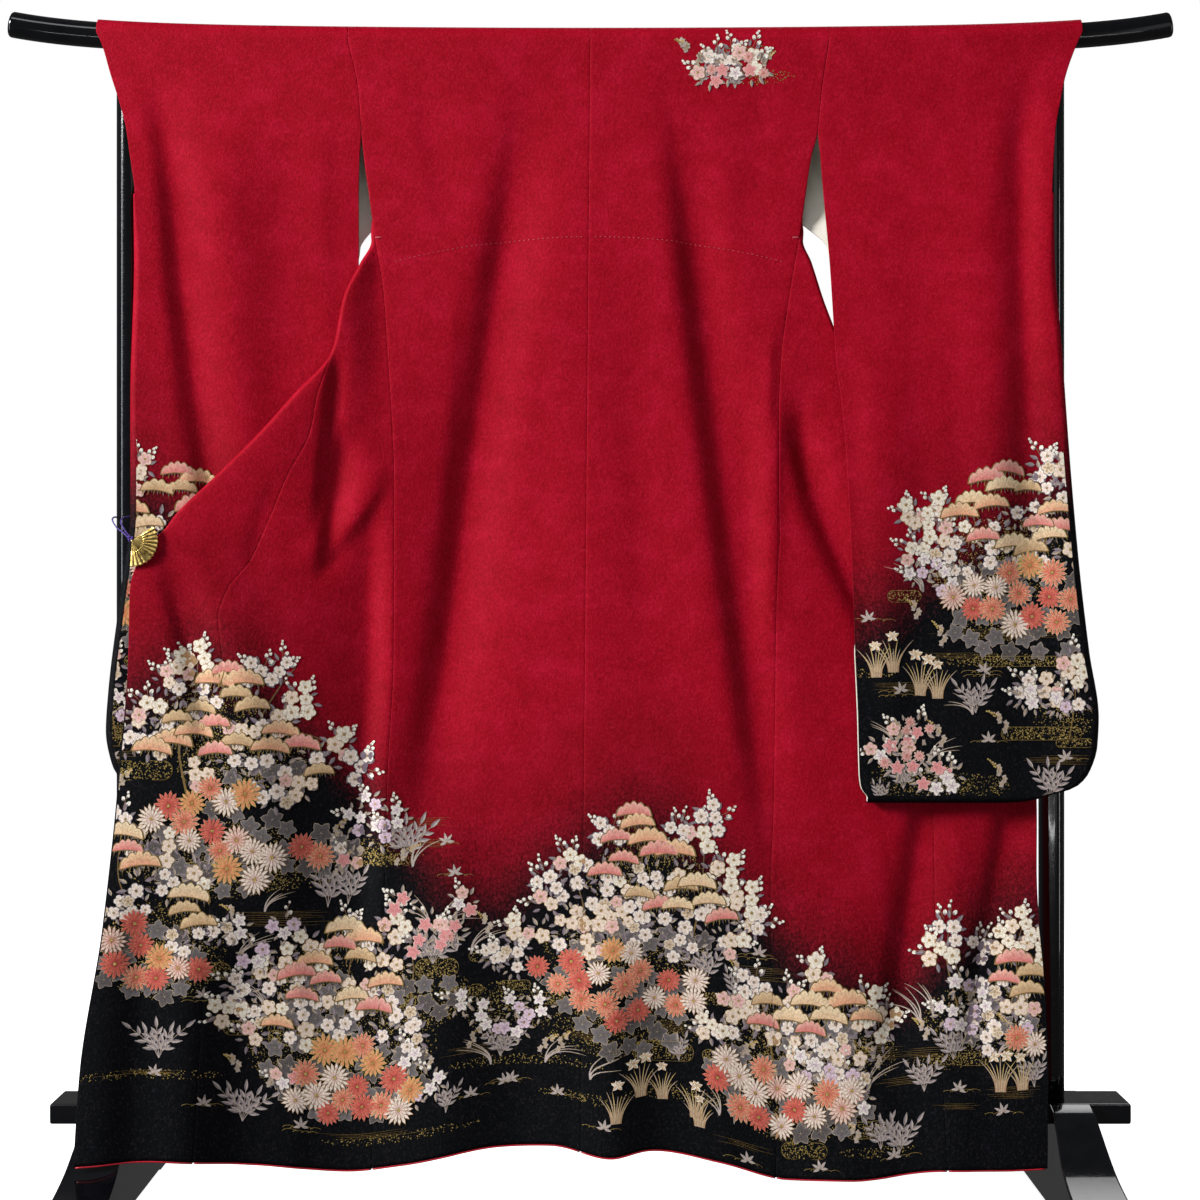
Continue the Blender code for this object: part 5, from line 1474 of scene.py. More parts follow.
def water_lines(canvas, rng, x, height, width, lines):
    """A stream: fine level gold lines, each of which starts and ends where it likes."""
    t = np.linspace(0, 1, 9)
    for i in range(lines):
        start, end = x - width / 2 * rng.uniform(0.4, 1.0), x + width / 2 * rng.uniform(0.4, 1.0)
        path = stacked(start + (end - start) * t, height + (i - lines / 2) * 2.4 + 0.5 * np.sin(4 * t + i))
        canvas.stamps.append(ribbon(path, 0.12 + 0.38 * np.sin(np.pi * t), 0.03, DARK_GOLD, DARK_GOLD, True))


def grass_arcs(canvas, rng, x, height, rows):
    """Rows of thin gold arcs, like the tops of little tufts, with a fallen leaf above them."""
    for i in range(rows * 4):
        wide = rng.uniform(6.0, 11.0)
        centre = (x + (i % 4 - 1.5) * 12 + rng.uniform(-3, 3), height - i // 4 * 5)
        path = centre + polar(wide, np.linspace(0.2, np.pi - 0.2, 7)) * (1.0, 0.45)
        canvas.stamps.append(ribbon(path, 0.5, 0.03, DARK_GOLD, GOLD, True))
    canvas.add(star_grey, x + rng.uniform(-8, 8), height + 4, rng.uniform(-0.3, 0.3), 1.1, 0.10)


def branch(canvas, width, *path):
    """A woody branch through points on the plan, thinner towards its end."""
    line = smooth_path(np.reshape(path, (-1, 2)), 5)
    thinner = width * (1 - 0.65 * np.linspace(0, 1, len(line)))
    canvas.stamps.append(ribbon(line, thinner, 0.06, DARK_GOLD, BRANCH))


print("scatter helpers ready")

# %% [markdown]
# Each hill is written down as a small plan in millimetres: ellipses that say where a kind of flower
# grows, and places for what gives the hill its outline, such as pine tiers and tall sprays. A line
# names the kind, and each of its rows starts with x and height. The first things painted lie lowest:
# water and gold, then leaves, blossoms, pine, and last the large chrysanthemums in front.

# %% How a hill is painted
BROAD = [leaf_round, leaf_dark, leaf_round]
PINES = [pine_cream, pine_peach, pine_pink, pine_tan, pine_peach, pine_pink]
MUMS = [mum_coral, mum_white, mum_orange, mum_red, mum_white, mum_coral, mum_blush, mum_red]


def plan_of(text):
    """A plan from its text: the name of a kind, its rows parted by commas, and a semicolon after them."""
    plan = {}
    for line in text.strip(" ;\n").split(";"):
        name, rows = line.split(maxsplit=1)
        plan[name] = [[float(part) if "." in part else int(part) for part in row.split()]
                      for row in rows.split(",")]
    return plan


def grow_hill(canvas, rng, plan):
    """Paint one hill from its plan, from the lowest layer to the highest."""
    for name, painter in (("water", water_lines), ("pools", gold_pool), ("arcs", grass_arcs)):
        for row in plan.get(name, []):
            painter(canvas, rng, *row)
    for row in plan.get("branches", []):
        branch(canvas, *row)
    gold_cloud(canvas, rng, plan["glow"])
    for x, height, bend, length in plan.get("grass", []):
        for i in range(4):
            blade = grass_blade(length * rng.uniform(0.7, 1.0), bend * rng.uniform(0.6, 1.5), BAMBOO, BEIGE)
            canvas.add(blade, x, height, rng.uniform(-0.4, 0.4), lift=0.07 + 0.02 * i)
    for x, height, stems, length in plan.get("bamboo", []):
        canvas.add(bamboo_grass(stems, length, rng), x, height, rng.uniform(-0.15, 0.15), lift=0.16)
    for x, height, length in plan.get("clover", []):
        canvas.add(bush_clover(length, rng), x, height, rng.uniform(-0.3, 0.3), lift=0.22)
    for kinds, name, spacing, lift in ((BROAD, "broad", 21, 0.10), (SPRAYS, "blossoms", 29, 0.32)):
        if name in plan:
            strew(canvas, rng, kinds, plan[name], spacing, lift)
    for kinds, name, lift in ((TALL_SPRAYS, "tall", 0.42), (LILACS, "lilacs", 0.66), (PINKS, "pinks", 0.70)):
        for i, (x, height, angle) in enumerate(plan.get(name, [])):
            one = kinds[rng.integers(len(kinds))]
            canvas.add(one, x, height, angle, rng.uniform(0.9, 1.05), own_lift(lift, i))
    for i, (x, height) in enumerate(plan.get("pines", [])):
        one = PINES[rng.integers(len(PINES))]
        canvas.add(one, x, height, rng.uniform(-0.14, 0.14), rng.uniform(1.0, 1.3), 0.92 + 0.03 * (i % 9))
    if "mums" in plan:
        strew(canvas, rng, MUMS, plan["mums"], 25.5, 1.02)
    for x, height, tall, flowers in plan.get("irises", []):
        canvas.add(iris(tall, flowers, rng), x, height, rng.uniform(-0.08, 0.08), lift=0.30)


print(len(PINES), "pine clouds and", len(MUMS), "chrysanthemums to choose from")

# %% [markdown]
# The left hill is the tallest, and climbs to the corner of the drawn-out front. Its pine tiers stand
# in the middle, tall sprays break its outline on both sides, and chrysanthemums crowd its foot. A
# lower hill spreads from it to the right, towards the middle of the back.

# %% Left hills
LEFT_HILL = plan_of("""
    water -429 407 166 9, -225 536 70 5, -216 506 62 5, -600 194 150 3, -640 634 60 5;
    pools -609 609 80 26, -510 334 40 24, -532 476 60 16, -280 484 70 18;
    arcs -525 296 2, -586 187 1, -205 503 1, -657 705 1;
    glow -477 616 87 46, -305 492 76 19, -579 364 84 71, -511 487 123 54, -423 460 76 16,
    -525 678 76 54, -600 190 109 7;
    branches 3.4 -545 555 -561 644 -542 705 -537 759, 2.2 -551 650 -586 684 -600 718,
    3.0 -447 582 -455 664 -429 718 -406 748, 2.4 -447 650 -395 657 -348 637,
    2.6 -600 398 -638 460 -635 541;
    grass -444 416 0.7 44, -245 473 0.6 60, -480 348 0.9 50, -395 371 -0.6 40;
    bamboo -361 419 3 50, -334 422 3 44, -254 487 5 48, -583 212 5 44, -525 446 3 40;
    clover -348 460 44, -477 398 40, -640 582 36, -354 507 40, -266 473 44;
    broad -497 500 98 60, -597 348 65 54, -365 500 41 33, -447 596 60 25;
    blossoms -600 668 33 22, -545 705 27 27, -458 657 30 22, -429 603 41 30, -512 609 33 14,
    -387 620 27 14, -597 506 33 27, -632 436 25 33, -561 460 35 19, -542 378 27 22, -502 389 16 22,
    -334 500 22 14;
    tall -534 757 0.1, -579 732 0.5, -605 694 0.6, -455 737 0.2, -427 748 -0.5, -398 702 -0.2,
    -423 675 -0.9, -346 639 -0.4, -324 612 -1.2, -638 544 0.2, -559 748 -0.1, -630 648 0.9;
    lilacs -303 560 0.1, -324 539 0.7, -289 517 -0.2, -270 539 -0.5, -480 392 0.4, -417 392 -0.4,
    -455 353 0.1;
    pinks -334 484 -0.3;
    pines -495 740, -514 725, -477 725, -485 708, -463 691, -532 688, -564 675, -515 667, -541 656,
    -425 656, -570 644, -482 642, -398 637, -597 634, -512 630, -439 634, -374 601, -632 520, -627 500,
    -610 479, -545 435, -551 416, -532 397;
    mums -570 558 38 22, -499 569 38 18, -515 522 38 25, -463 481 35 30, -395 496 33 16, -630 362 35 44,
    -575 334 44 19;""")
MIDDLE_LEFT_HILL = plan_of("""
    water -300 116 190 4, -164 214 90 5, -447 280 80 8;
    pools -211 334 60 26, -395 242 90 22, -177 299 60 16, -266 289 60 18, -477 255 46 20;
    arcs -395 122 2, -525 146 1, -164 144 1, -109 160 1, -184 460 1;
    glow -341 228 131 76, -232 296 68 46, -259 108 109 7, -395 330 68 41;
    branches 2.8 -395 235 -425 296 -439 351, 3.0 -341 242 -334 317 -324 378,
    2.2 -252 255 -243 337 -259 412;
    grass -205 385 0.8 60, -221 392 -0.5 52, -395 144 0.8 46, -164 351 0.9 60, -447 285 -0.7 44;
    bamboo -474 127 5 44, -365 130 4 40, -216 340 6 42, -198 130 3 34, -266 140 3 34;
    clover -436 174 40, -139 378 40, -218 194 42, -395 283 36, -477 194 36;
    broad -327 194 104 54, -361 289 63 35, -225 296 46 27, -409 214 41 35;
    blossoms -395 348 38 22, -286 351 35 35, -341 296 68 27, -447 296 33 30, -266 255 35 22,
    -382 249 46 19, -266 389 19 16;
    tall -482 310 0.6, -444 334 0.2, -493 276 1.1, -270 398 0.1, -333 392 -0.1, -463 242 0.8;
    lilacs -218 174 -0.4, -245 160 0.2, -252 214 -0.6;
    pinks -259 424 0.4, -221 397 -0.1, -199 381 -0.6, -175 422 -0.4, -188 386 0.3, -235 367 0.6,
    -416 187 0.6;
    pines -337 386, -312 371, -344 364, -316 348, -378 343, -402 326, -363 318, -281 313, -395 296,
    -327 296, -297 280, -428 258;
    mums -327 195 63 33, -371 160 35 19, -278 165 41 25, -341 235 30 14;""")
print(len(LEFT_HILL["pines"]) + len(MIDDLE_LEFT_HILL["pines"]), "pine clouds on the left hills")

# %% [markdown]
# The middle hill stands on the right half of the back and crosses the side seam, and two lower ones
# follow it towards the right edge. A design like this is drawn on the sewn-up garment first, so that
# it runs on over the seams, and our plan measures along the cloth for the same reason.

# %% Middle and right hills
MIDDLE_HILL = plan_of("""
    water 234 332 96 8, 111 247 80 7, 2 235 90 5;
    pools -104 303 44 14, 170 292 62 20, 100 212 84 28, -52 283 44 18, -137 348 60 16;
    arcs 228 353 2, -123 157 1, 13 106 1, -41 140 1;
    glow 47 357 114 46, -89 193 109 8, -10 146 63 8, 41 242 109 35, -116 269 60 41, 75 460 82 46,
    122 153 82 11;
    branches 3.0 0 344 -11 426 -33 487, 3.0 136 357 152 432 158 514, 2.4 152 432 197 432 220 412,
    3.2 68 364 73 460 62 533;
    grass -184 357 -0.7 50, -62 187 0.9 54, 0 174 0.8 50, -137 187 -0.9 46;
    bamboo 160 315 4 42, -124 198 5 36, 197 296 2 34, 122 198 3 34;
    clover -41 201 42, -68 201 40, -164 214 40, -21 296 40, 207 317 40;
    broad 43 283 95 46, 68 231 60 19, 68 371 95 25, -33 317 46 22;
    blossoms -10 453 38 27, 13 416 60 22, 76 449 38 25, 62 405 46 22, 150 389 46 25, 150 460 25 16,
    -58 372 33 14, -111 340 27 19, 204 412 22 22, 27 367 54 14, 111 356 41 11;
    tall -30 484 0.3, 24 517 0.2, 150 517 -0.4, 122 522 0.1, 188 465 -0.4, 215 427 -0.3, 228 397 -1.0,
    -60 454 0.7, -60 422 1.2, -98 383 0.4, -128 348 0.9, 196 367 -1.2, 166 539 -0.5;
    lilacs -180 283 0.3, -153 266 0.1, -104 272 0.0, -71 269 -0.4, -134 239 0.3, -101 239 -0.2;
    pines 60 544, 65 529, 36 509, 79 507, 117 490, 94 490, 46 480, 20 462, 147 446, 125 442, 95 416,
    163 422, 120 416, 181 400, 68 432;
    mums -41 323 38 22, 30 315 44 30, 11 283 35 16, 47 351 27 16, 114 302 38 25, 47 266 25 11;
    irises 35 116 46 1, 69 146 50 2, 99 141 42 1, 144 122 46 1;""")
MIDDLE_RIGHT_HILL = plan_of("""
    water 395 231 90 7, 429 194 80 5, 211 103 90 4;
    pools 293 108 62 22, 378 242 50 16, 378 135 56 22, 179 212 50 18;
    arcs 317 81 1, 422 92 1, 211 78 1;
    glow 279 180 104 63, 367 228 54 35, 245 249 68 41, 395 106 54 8;
    branches 2.6 252 214 242 269 228 317, 3.0 327 214 335 276 318 337;
    grass 381 185 0.8 50, 177 133 -0.7 40;
    bamboo 422 97 4 44, 397 108 3 38, 197 126 2 34;
    clover 397 212 40, 211 217 34, 367 119 38;
    broad 286 174 98 49, 313 242 54 30, 197 201 33 25;
    blossoms 177 235 33 25, 226 283 27 25, 283 250 46 22, 370 255 33 27, 347 214 41 19;
    tall 223 313 0.4, 272 302 -0.2, 313 334 0.1, 166 250 0.8, 378 293 -0.6, 403 269 -1.0, 207 280 0.8;
    lilacs 321 212 0.2, 348 198 -0.3, 297 220 0.4;
    pinks 370 176 -0.7;
    pines 324 310, 351 293, 302 292, 243 292, 275 272, 327 274, 237 264, 378 274, 302 258;
    mums 220 193 49 25, 239 157 52 20, 302 171 33 27, 348 174 22 16;
    irises 150 111 34 1;""")
RIGHT_HILL = plan_of("""
    water 456 228 80 6, 579 174 80 7, 506 157 90 4;
    pools 506 217 80 16, 591 231 50 14;
    arcs 565 144 1, 506 174 1;
    glow 538 269 82 49, 476 214 41 11;
    branches 2.6 506 276 490 344 493 394, 2.6 594 283 585 351 596 398;
    grass 452 266 -0.8 60, 470 276 -0.4 54, 558 221 0.8 50;
    bamboo 457 176 4 38, 607 179 3 38, 497 217 4 40;
    clover 528 276 44, 463 242 40, 574 242 40;
    broad 561 266 54 30;
    blossoms 579 296 35 22, 558 255 33 19;
    tall 493 389 0.3, 479 357 0.7, 594 392 0.1, 572 367 0.5, 536 364 -0.1, 613 364 -0.3;
    lilacs 512 313 0.2, 539 291 -0.3, 490 280 0.7, 517 255 0.1, 602 242 -0.2;
    pines 583 343, 607 326, 569 318, 599 302;
    mums 602 239 19 19;
    irises 561 174 48 2, 591 176 42 1;""")
print(len(MIDDLE_HILL["pines"]), "pine clouds on the middle hill")

# %% [markdown]
# The sleeves carry a hill of their own on both layers, with a second garden under it, and a spray
# crosses the right shoulder. We write the right sleeve's plan and mirror it for the left one, with
# another seed, since the two sleeves of such a robe answer each other.

# %% Sleeve hills and shoulder spray
SLEEVE_HILL = plan_of("""
    water 562 795 220 6, 427 724 120 5, 643 623 110 6, 504 766 120 4;
    pools 430 846 46 16, 618 658 110 18, 663 645 50 12, 585 757 120 14, 497 868 60 22;
    arcs 389 811 1, 419 713 2, 538 740 2, 544 645 1, 656 620 1;
    glow 565 895 87 60, 549 759 87 11, 385 740 41 7, 515 585 60 19, 653 678 46 27, 442 596 60 27,
    572 807 76 22;
    branches 2.6 497 841 474 895 452 947 441 969, 3.0 623 895 629 977 643 1029,
    2.0 656 650 664 705 662 748;
    grass 456 852 -0.9 50, 524 684 -0.8 44, 463 616 0.8 54, 415 644 -0.7 40;
    bamboo 528 686 4 40, 629 569 4 42, 395 563 3 26, 429 582 4 34;
    clover 483 637 44, 565 582 44, 483 776 40, 449 814 34, 572 657 44, 422 644 40, 640 718 40;
    broad 572 803 90 33, 626 784 41 19, 558 861 74 33, 640 841 35 33;
    blossoms 555 939 41 20, 591 958 25 14, 634 1004 22 22, 626 705 46 18, 517 895 41 22, 656 906 16 27,
    664 732 14 22, 585 895 54 14;
    tall 623 1026 0.1, 651 1018 -0.2, 441 958 0.5, 457 942 -0.2, 441 906 0.8, 479 964 0.0, 482 928 0.1,
    662 754 -0.2, 599 718 0.3;
    lilacs 468 890 0.4, 449 875 0.8, 645 697 -0.3, 602 705 0.4, 490 868 0.0;
    pinks 427 660 0.3, 452 664 -0.2, 400 634 0.9, 422 618 0.4, 444 629 -0.3, 463 590 0.0, 482 609 -0.5,
    493 599 -0.8;
    pines 572 1015, 544 1003, 566 992, 600 991, 524 973, 549 968, 636 961, 506 955, 614 942, 644 936,
    629 925, 580 913, 604 906, 538 923;
    mums 610 874 38 15, 534 838 46 25, 599 825 49 27, 645 838 25 27;
    irises 392 735 44 1, 415 742 46 1, 452 710 50 2, 476 706 42 1;""")
SHOULDER_SPRAY = plan_of("""
    water 220 1609 60 3;
    glow 238 1568 46 11, 211 1604 41 11;
    bamboo 154 1557 3 26, 201 1552 4 26, 171 1576 3 26;
    clover 237 1576 34, 150 1582 32, 136 1604 26;
    tall 197 1598 -0.2, 220 1596 -0.6, 177 1590 0.5;
    pinks 190 1579 0.1, 228 1579 -0.7, 163 1574 0.6;""")
SIDEWAYS = {"branches": (1, 3, 5, 7), "tall": (0, 2), "lilacs": (0, 2), "pinks": (0, 2), "grass": (0, 2)}


def mirrored(plan):
    """The same plan on the other side: each x changes its sign, and so does each lean."""
    return {name: [[-value if i in SIDEWAYS.get(name, (0,)) else value for i, value in enumerate(row)]
                   for row in rows] for name, rows in plan.items()}


print(sum(len(rows) for rows in SLEEVE_HILL.values()), "rows in the sleeve's plan")

# %% [markdown]
# Paint and gold are two finishes on one mesh. The dye sinks into the crepe, so it keeps the cloth's
# grain and a soft surface. The gold is leaf on paste: it covers the grain a little, glints, and has
# worn off the tops of the threads.

# %% Paint and gold
PAINT_FOOT = 0.002


def paint_finish(name, sockets, shade_on, shade, strength, distance, rough=None):
    """The paint's colour times a shade that follows the crepe's grain or its cells."""
    material, tree, shader, place = new_material(name, sockets)
    heights = dict(zip(("grain", "cells"), crepe_grain(tree, place)))
    colour = add_node(tree, "Attribute", attribute_name="paint").outputs["Color"]
    shaded = mix(tree, colour, ramp(tree, heights[shade_on], shade), blend="MULTIPLY")
    dress(tree, shader, shaded, heights["grain"], strength, distance,
          ramp(tree, heights["cells"], rough) if rough else None)
    return material


def paint_canvas(canvas, cloth, plans, seed):
    """Grow the hills on a canvas and lay them on its cloth."""
    rng = np.random.default_rng(seed)
    for plan in plans:
        grow_hill(canvas, rng, plan)
    canvas.lay(cloth)


painted = [
    paint_finish("Hand-painted dye", {"Roughness": 0.66, "Sheen Weight": 0.12, "Sheen Roughness": 0.5,
                                      "Specular IOR Level": 0.25},
                 "grain", [(0.10, paint(205, 200, 198)), (0.32, paint(255, 255, 255))], 0.45, 0.0009),
    paint_finish("Gold leaf on paste", {"Metallic": 0.55, "Specular IOR Level": 0.5},
                 "cells", [(0.30, paint(190, 176, 150)), (0.55, paint(255, 255, 255))], 0.35, 0.0008,
                 [(0.35, grey(0.52)), (0.65, grey(0.34))])]
for name, cloth, plans, seed in (
        ("left_hill_paint", "front_left", [LEFT_HILL], 11),
        ("middle_left_hill_paint", "back_left", [MIDDLE_LEFT_HILL], 12),
        ("middle_hill_paint", "back_right", [MIDDLE_HILL, SHOULDER_SPRAY], 13),
        ("right_hills_paint", "front_right", [MIDDLE_RIGHT_HILL, RIGHT_HILL], 14)):
    paint_canvas(Canvas(name, body_cloth, body_limits, HEM + PAINT_FOOT), cloth, plans, seed)
for side, plan in ((-1, mirrored(SLEEVE_HILL)), (1, SLEEVE_HILL)):
    for far, layer in enumerate(("near", "far")):
        canvas = Canvas(f"sleeve_{SIDES[side]}_{layer}_paint", sleeve_cloth(side, far), sleeve_limits(side),
                        SLEEVE_FOOT + PAINT_FOOT, -1.0 if far else 1.0)
        paint_canvas(canvas, "sleeve_" + SIDES[side], [plan], 21 + side + far)

# %% [markdown]
# A formal kimono shows its sewing in a few places. The lining is rolled out a little below the hem
# as a thin red cord of cloth. A row of running stitches holds the tuck at the waist, and a short bar
# of thread strengthens the top of each side seam, where a sleeve's opening ends.

# %% Hem roll and stitches
ROLL_RADIUS = 0.0013
ROLL_DROP = 0.0006
ROLL_END = 0.0012
ROLL_STEP = 0.006
TUCK_HEIGHT = 1.345
TUCK_SAG = 0.035
TUCK_HALF = 0.272
STITCH_PITCH = 0.0066
STITCH_HALF = 1.3
BAR_HALF = 4.5
THREAD_PINK, THREAD_RED = (214, 110, 124), (186, 46, 66)


def hem_roll(cloth, x):
    """A thin tube along the hem's edge, just below it and level with the middle of the cloth's thickness."""
    path = body_cloth(x, np.full_like(x, HEM)) - (0.0, 0.0, ROLL_DROP)
    obj = add_mesh("hem_roll_" + cloth, *tube_parts(rings_along(path, ROLL_RADIUS, 8)), [body_lining])
    on_cloth.setdefault(cloth, []).append(obj)


for side, end in zip(SIDES, body_limits(HEM)):
    seam = side_seam(side, HEM)
    stops = [centre_seam(HEM), side * seam, side * (seam + read(FRONT[side], "okumi", HEM)), end]
    for start, stop, part in zip(stops[:-1], stops[1:], ("back", "front", "okumi")):
        count = int(abs(stop - start) / ROLL_STEP) + 2
        hem_roll(f"{part}_{SIDES[side]}", np.linspace(start + side * ROLL_END, stop - side * ROLL_END, count))


def thread(half, rise, widths, lifts):
    """One stitch on the plan: a ribbon from -half to half through (0, rise), thickest in its middle."""
    return ribbon([(-half, 0), (0, rise), (half, 0)], widths, lifts * 2, THREAD_PINK, THREAD_RED)


stitch = thread(STITCH_HALF, 0, [0.5, 0.9, 0.5], [0.0, 0.5, 0.0])
bar = thread(BAR_HALF, 0.4, [1.2, 2.0, 1.2], [0.1, 0.8, 0.1])
for side in SIDES:
    sewing = Canvas("tuck_stitches_" + SIDES[side], body_cloth, body_limits, HEM)
    for x in np.arange(0.010, TUCK_HALF, STITCH_PITCH) * side:
        level = TUCK_HEIGHT - TUCK_SAG * (x / TUCK_HALF) ** 2
        sewing.add(stitch, 1000 * (x + centre_seam(level)), 1000 * level, -2 * TUCK_SAG * x / TUCK_HALF**2)
    sewing.add(bar, 1000 * side * (side_seam(side, SIDE_SEAM_TOP) - 0.005), 1000 * (SIDE_SEAM_TOP + 0.001))
    sewing.lay("back_" + SIDES[side])

# %% [markdown]
# The stand is wood under many coats of black lacquer, polished until it mirrors the room. Facets
# would break those reflections, so its pieces are made again here with many more rows. The
# reflections themselves need something to mirror, which the soft lights below give.

# %% Lacquer
def black_lacquer():
    """Polished black lacquer: a clear coat over a dark ground, with a faint waviness and fine scratches."""
    material, tree, shader, place = new_material("Black lacquer", {
        "Specular IOR Level": 0.4, "Coat Weight": 0.6, "Coat Roughness": 0.04, "Coat IOR": 1.5})
    waves = noise(tree, place, 30.0, 2.0, 0.5)
    fine = noise(tree, place, 900.0, 2.0, 0.7, (0.08, 0.08, 1.0))
    colour = ramp(tree, waves, [(0.35, paint(5, 6, 9)), (0.65, paint(11, 12, 16))])
    rough = ramp(tree, fine, [(0.45, grey(0.10)), (0.72, grey(0.24))])
    dress(tree, shader, colour, waves, 0.05, 0.0006, rough)
    return material


def stand_piece(node, rings):
    """A closed tube in lacquer that stands for a node of the stand."""
    obj = add_mesh(node + "_lacquer", *tube_parts(rings), [lacquer])
    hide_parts(node)


lacquer = black_lacquer()
print("made", lacquer.name)

# %% [markdown]
# The pole rises gently towards its ends, as the upper beam of a shrine gate does, and its tips are
# cut square and softened. It is a circle carried along that line, whose radius shrinks over the last
# few millimetres of each end. The two round posts end in the pole's underside, so the height of
# their top edge follows the pole's own round.

# %% Pole and posts
POLE_AROUND = 72
POLE_TIP = 0.005
POST_AROUND = 64
POST_RADIUS = 0.018
BOARD_TOP = 0.145
BOARD_BOTTOM = 0.117


def half_sweep(length, tip, count):
    """Distances from the middle to an end, and how far the profile draws in: tip (1 - cos) over the tip."""
    angle = np.linspace(0, np.pi / 2, 9)
    straight = np.concatenate([np.linspace(0, length - tip - 0.001, count), [length - tip - 0.0004]])
    reach = np.concatenate([straight, length - tip + tip * np.sin(angle)])
    return reach, np.concatenate([np.zeros(len(straight)), tip * (1 - np.cos(angle))])


def whole_sweep(length, tip, count):
    """The same from end to end."""
    reach, inset = half_sweep(length, tip, count)
    return np.concatenate([-reach[::-1], reach[1:]]), np.concatenate([inset[::-1], inset[1:]])


pole_x, pole_inset = whole_sweep(POLE_HALF, POLE_TIP, 90)
pole_axis = stacked(pole_x, 0.0, POLE_HEIGHT + pole_rise(pole_x))
stand_piece("pole", rings_along(pole_axis, POLE_RADIUS - pole_inset, POLE_AROUND))
for side in SIDES:
    x, y = around(POST_AROUND, POST_RADIUS).T
    x = side * POST_X + x
    top = POLE_HEIGHT + pole_rise(x) - np.sqrt(np.maximum(POLE_RADIUS**2 - y**2, 0.0))
    height = BOARD_TOP + (top - BOARD_TOP) * np.linspace(0, 1, 40)[:, None]
    stand_piece("post_" + SIDES[side], stacked(x, y, height))
print("pole", 2 * POLE_HALF, "m long")

# %% [markdown]
# The board and the feet have flat faces that meet in softened edges. For each station along the
# piece we round the corners of its four-sided section. A close pair of points beside each rounding
# keeps the flat faces flat in the shading, which matters on a mirror finish.

# %% Board and feet
EDGE_ROUND = 0.0026
EDGE_HOLD = 0.0005
BOARD_HALF = 0.747
BOARD_HALF_DEPTH = 0.050
BOARD_TIP = 0.003
FOOT_HALF = 0.300
FOOT_INNER_X = 0.634
FOOT_CROWN_X = 0.690
FOOT_FLARE = 0.030
FOOT_RECESS = 0.003
FOOT_PAD = 0.100
FOOT_NOTCH = 0.0503
FOOT_TIP = 0.002
FOOT_TOP = [(0.0503, 0.145), (0.0760, 0.137), (0.1000, 0.118), (0.1250, 0.095), (0.1500, 0.076),
            (0.1800, 0.062), (0.2200, 0.050), (0.2700, 0.039), (0.2950, 0.034), (0.3000, 0.028)]


def round_corners(*corners):
    """Sections whose corners are curves: (1 - t)^2 start + 2 t (1 - t) corner + t^2 end."""
    corners = np.stack([stacked(*corner) for corner in corners], axis=1)
    before = unit(np.roll(corners, 1, axis=1) - corners)[:, :, None]
    after = unit(np.roll(corners, -1, axis=1) - corners)[:, :, None]
    corners = corners[:, :, None]
    t = np.linspace(0, 1, 7)[:, None]
    start, end = corners + EDGE_ROUND * before, corners + EDGE_ROUND * after
    curve = (1 - t) ** 2 * start + 2 * t * (1 - t) * corners + t**2 * end
    held = np.concatenate([start + EDGE_HOLD * before, curve, end + EDGE_HOLD * after], axis=2)
    return held.reshape(len(corners), -1, 3)


board_x, board_inset = whole_sweep(BOARD_HALF, BOARD_TIP, 60)
half_depth = BOARD_HALF_DEPTH - board_inset
low, high = BOARD_BOTTOM + board_inset, BOARD_TOP - board_inset
stand_piece("base_board", round_corners((board_x, -half_depth, low), (board_x, -half_depth, high),
                                        (board_x, half_depth, high), (board_x, half_depth, low))[:, ::-1])

foot_curve = smooth_path(FOOT_TOP, 8)
toe_reach, toe_inset = half_sweep(FOOT_HALF, FOOT_TIP, 60)
outer_reach = np.concatenate([[FOOT_NOTCH, FOOT_NOTCH + 0.002], toe_reach[toe_reach > FOOT_NOTCH + 0.004]])
outer_inset = np.interp(outer_reach, toe_reach, toe_inset)
outer_top = np.interp(outer_reach, foot_curve[:, 0], foot_curve[:, 1]) - outer_inset
half_reach = np.concatenate([[0.0, 0.025, FOOT_NOTCH - 0.0001], outer_reach])
half_top = np.concatenate([[BOARD_BOTTOM - 0.0003] * 3, outer_top])
half_inset = np.concatenate([[0.0] * 3, outer_inset])
pad_start = FOOT_HALF - FOOT_PAD
half_low = FOOT_RECESS * ease(half_reach, pad_start, pad_start - 0.006) + half_inset
station_y = np.concatenate([-half_reach[::-1], half_reach[1:]])
station_top, station_low, station_inset = (
    np.concatenate([values[::-1], values[1:]]) for values in (half_top, half_low, half_inset))


def foot_side(height):
    """Distance of a foot's outer face from X = 0: it flares outward towards the floor."""
    return FOOT_CROWN_X + FOOT_FLARE * (1 - height / BOARD_TOP) - station_inset


for side in SIDES:
    inner = side * (FOOT_INNER_X + station_inset)
    rings = round_corners((inner, station_y, station_low), (inner, station_y, station_top),
                          (side * foot_side(station_top), station_y, station_top),
                          (side * foot_side(station_low), station_y, station_low))
    stand_piece("foot_" + SIDES[side], rings[:, ::side])
print("foot spans", station_y.min().round(3), "to", station_y.max().round(3))

# %% [markdown]
# The clip's ornament is a tiny folding fan of gilt brass. Its pleats are a zigzag across the angle
# that grows with the radius, its rim is scalloped by the same rhythm, and a raised arc divides the
# ribs from the paper part. The spring behind it is a plain part already, so it only gets the metal.

# %% Gilt clip
FAN_PIVOT = (-0.6265, 0.922)
FAN_DEPTH = -0.0850
FAN_HUB = 0.0015
FAN_RADIUS = 0.036
FAN_ANGLES = (35.0, -95.0)
FAN_RIBS = 12
FAN_PLEAT = 0.0008
FAN_THICKNESS = 0.0012
RIVET_RADIUS = 0.0022


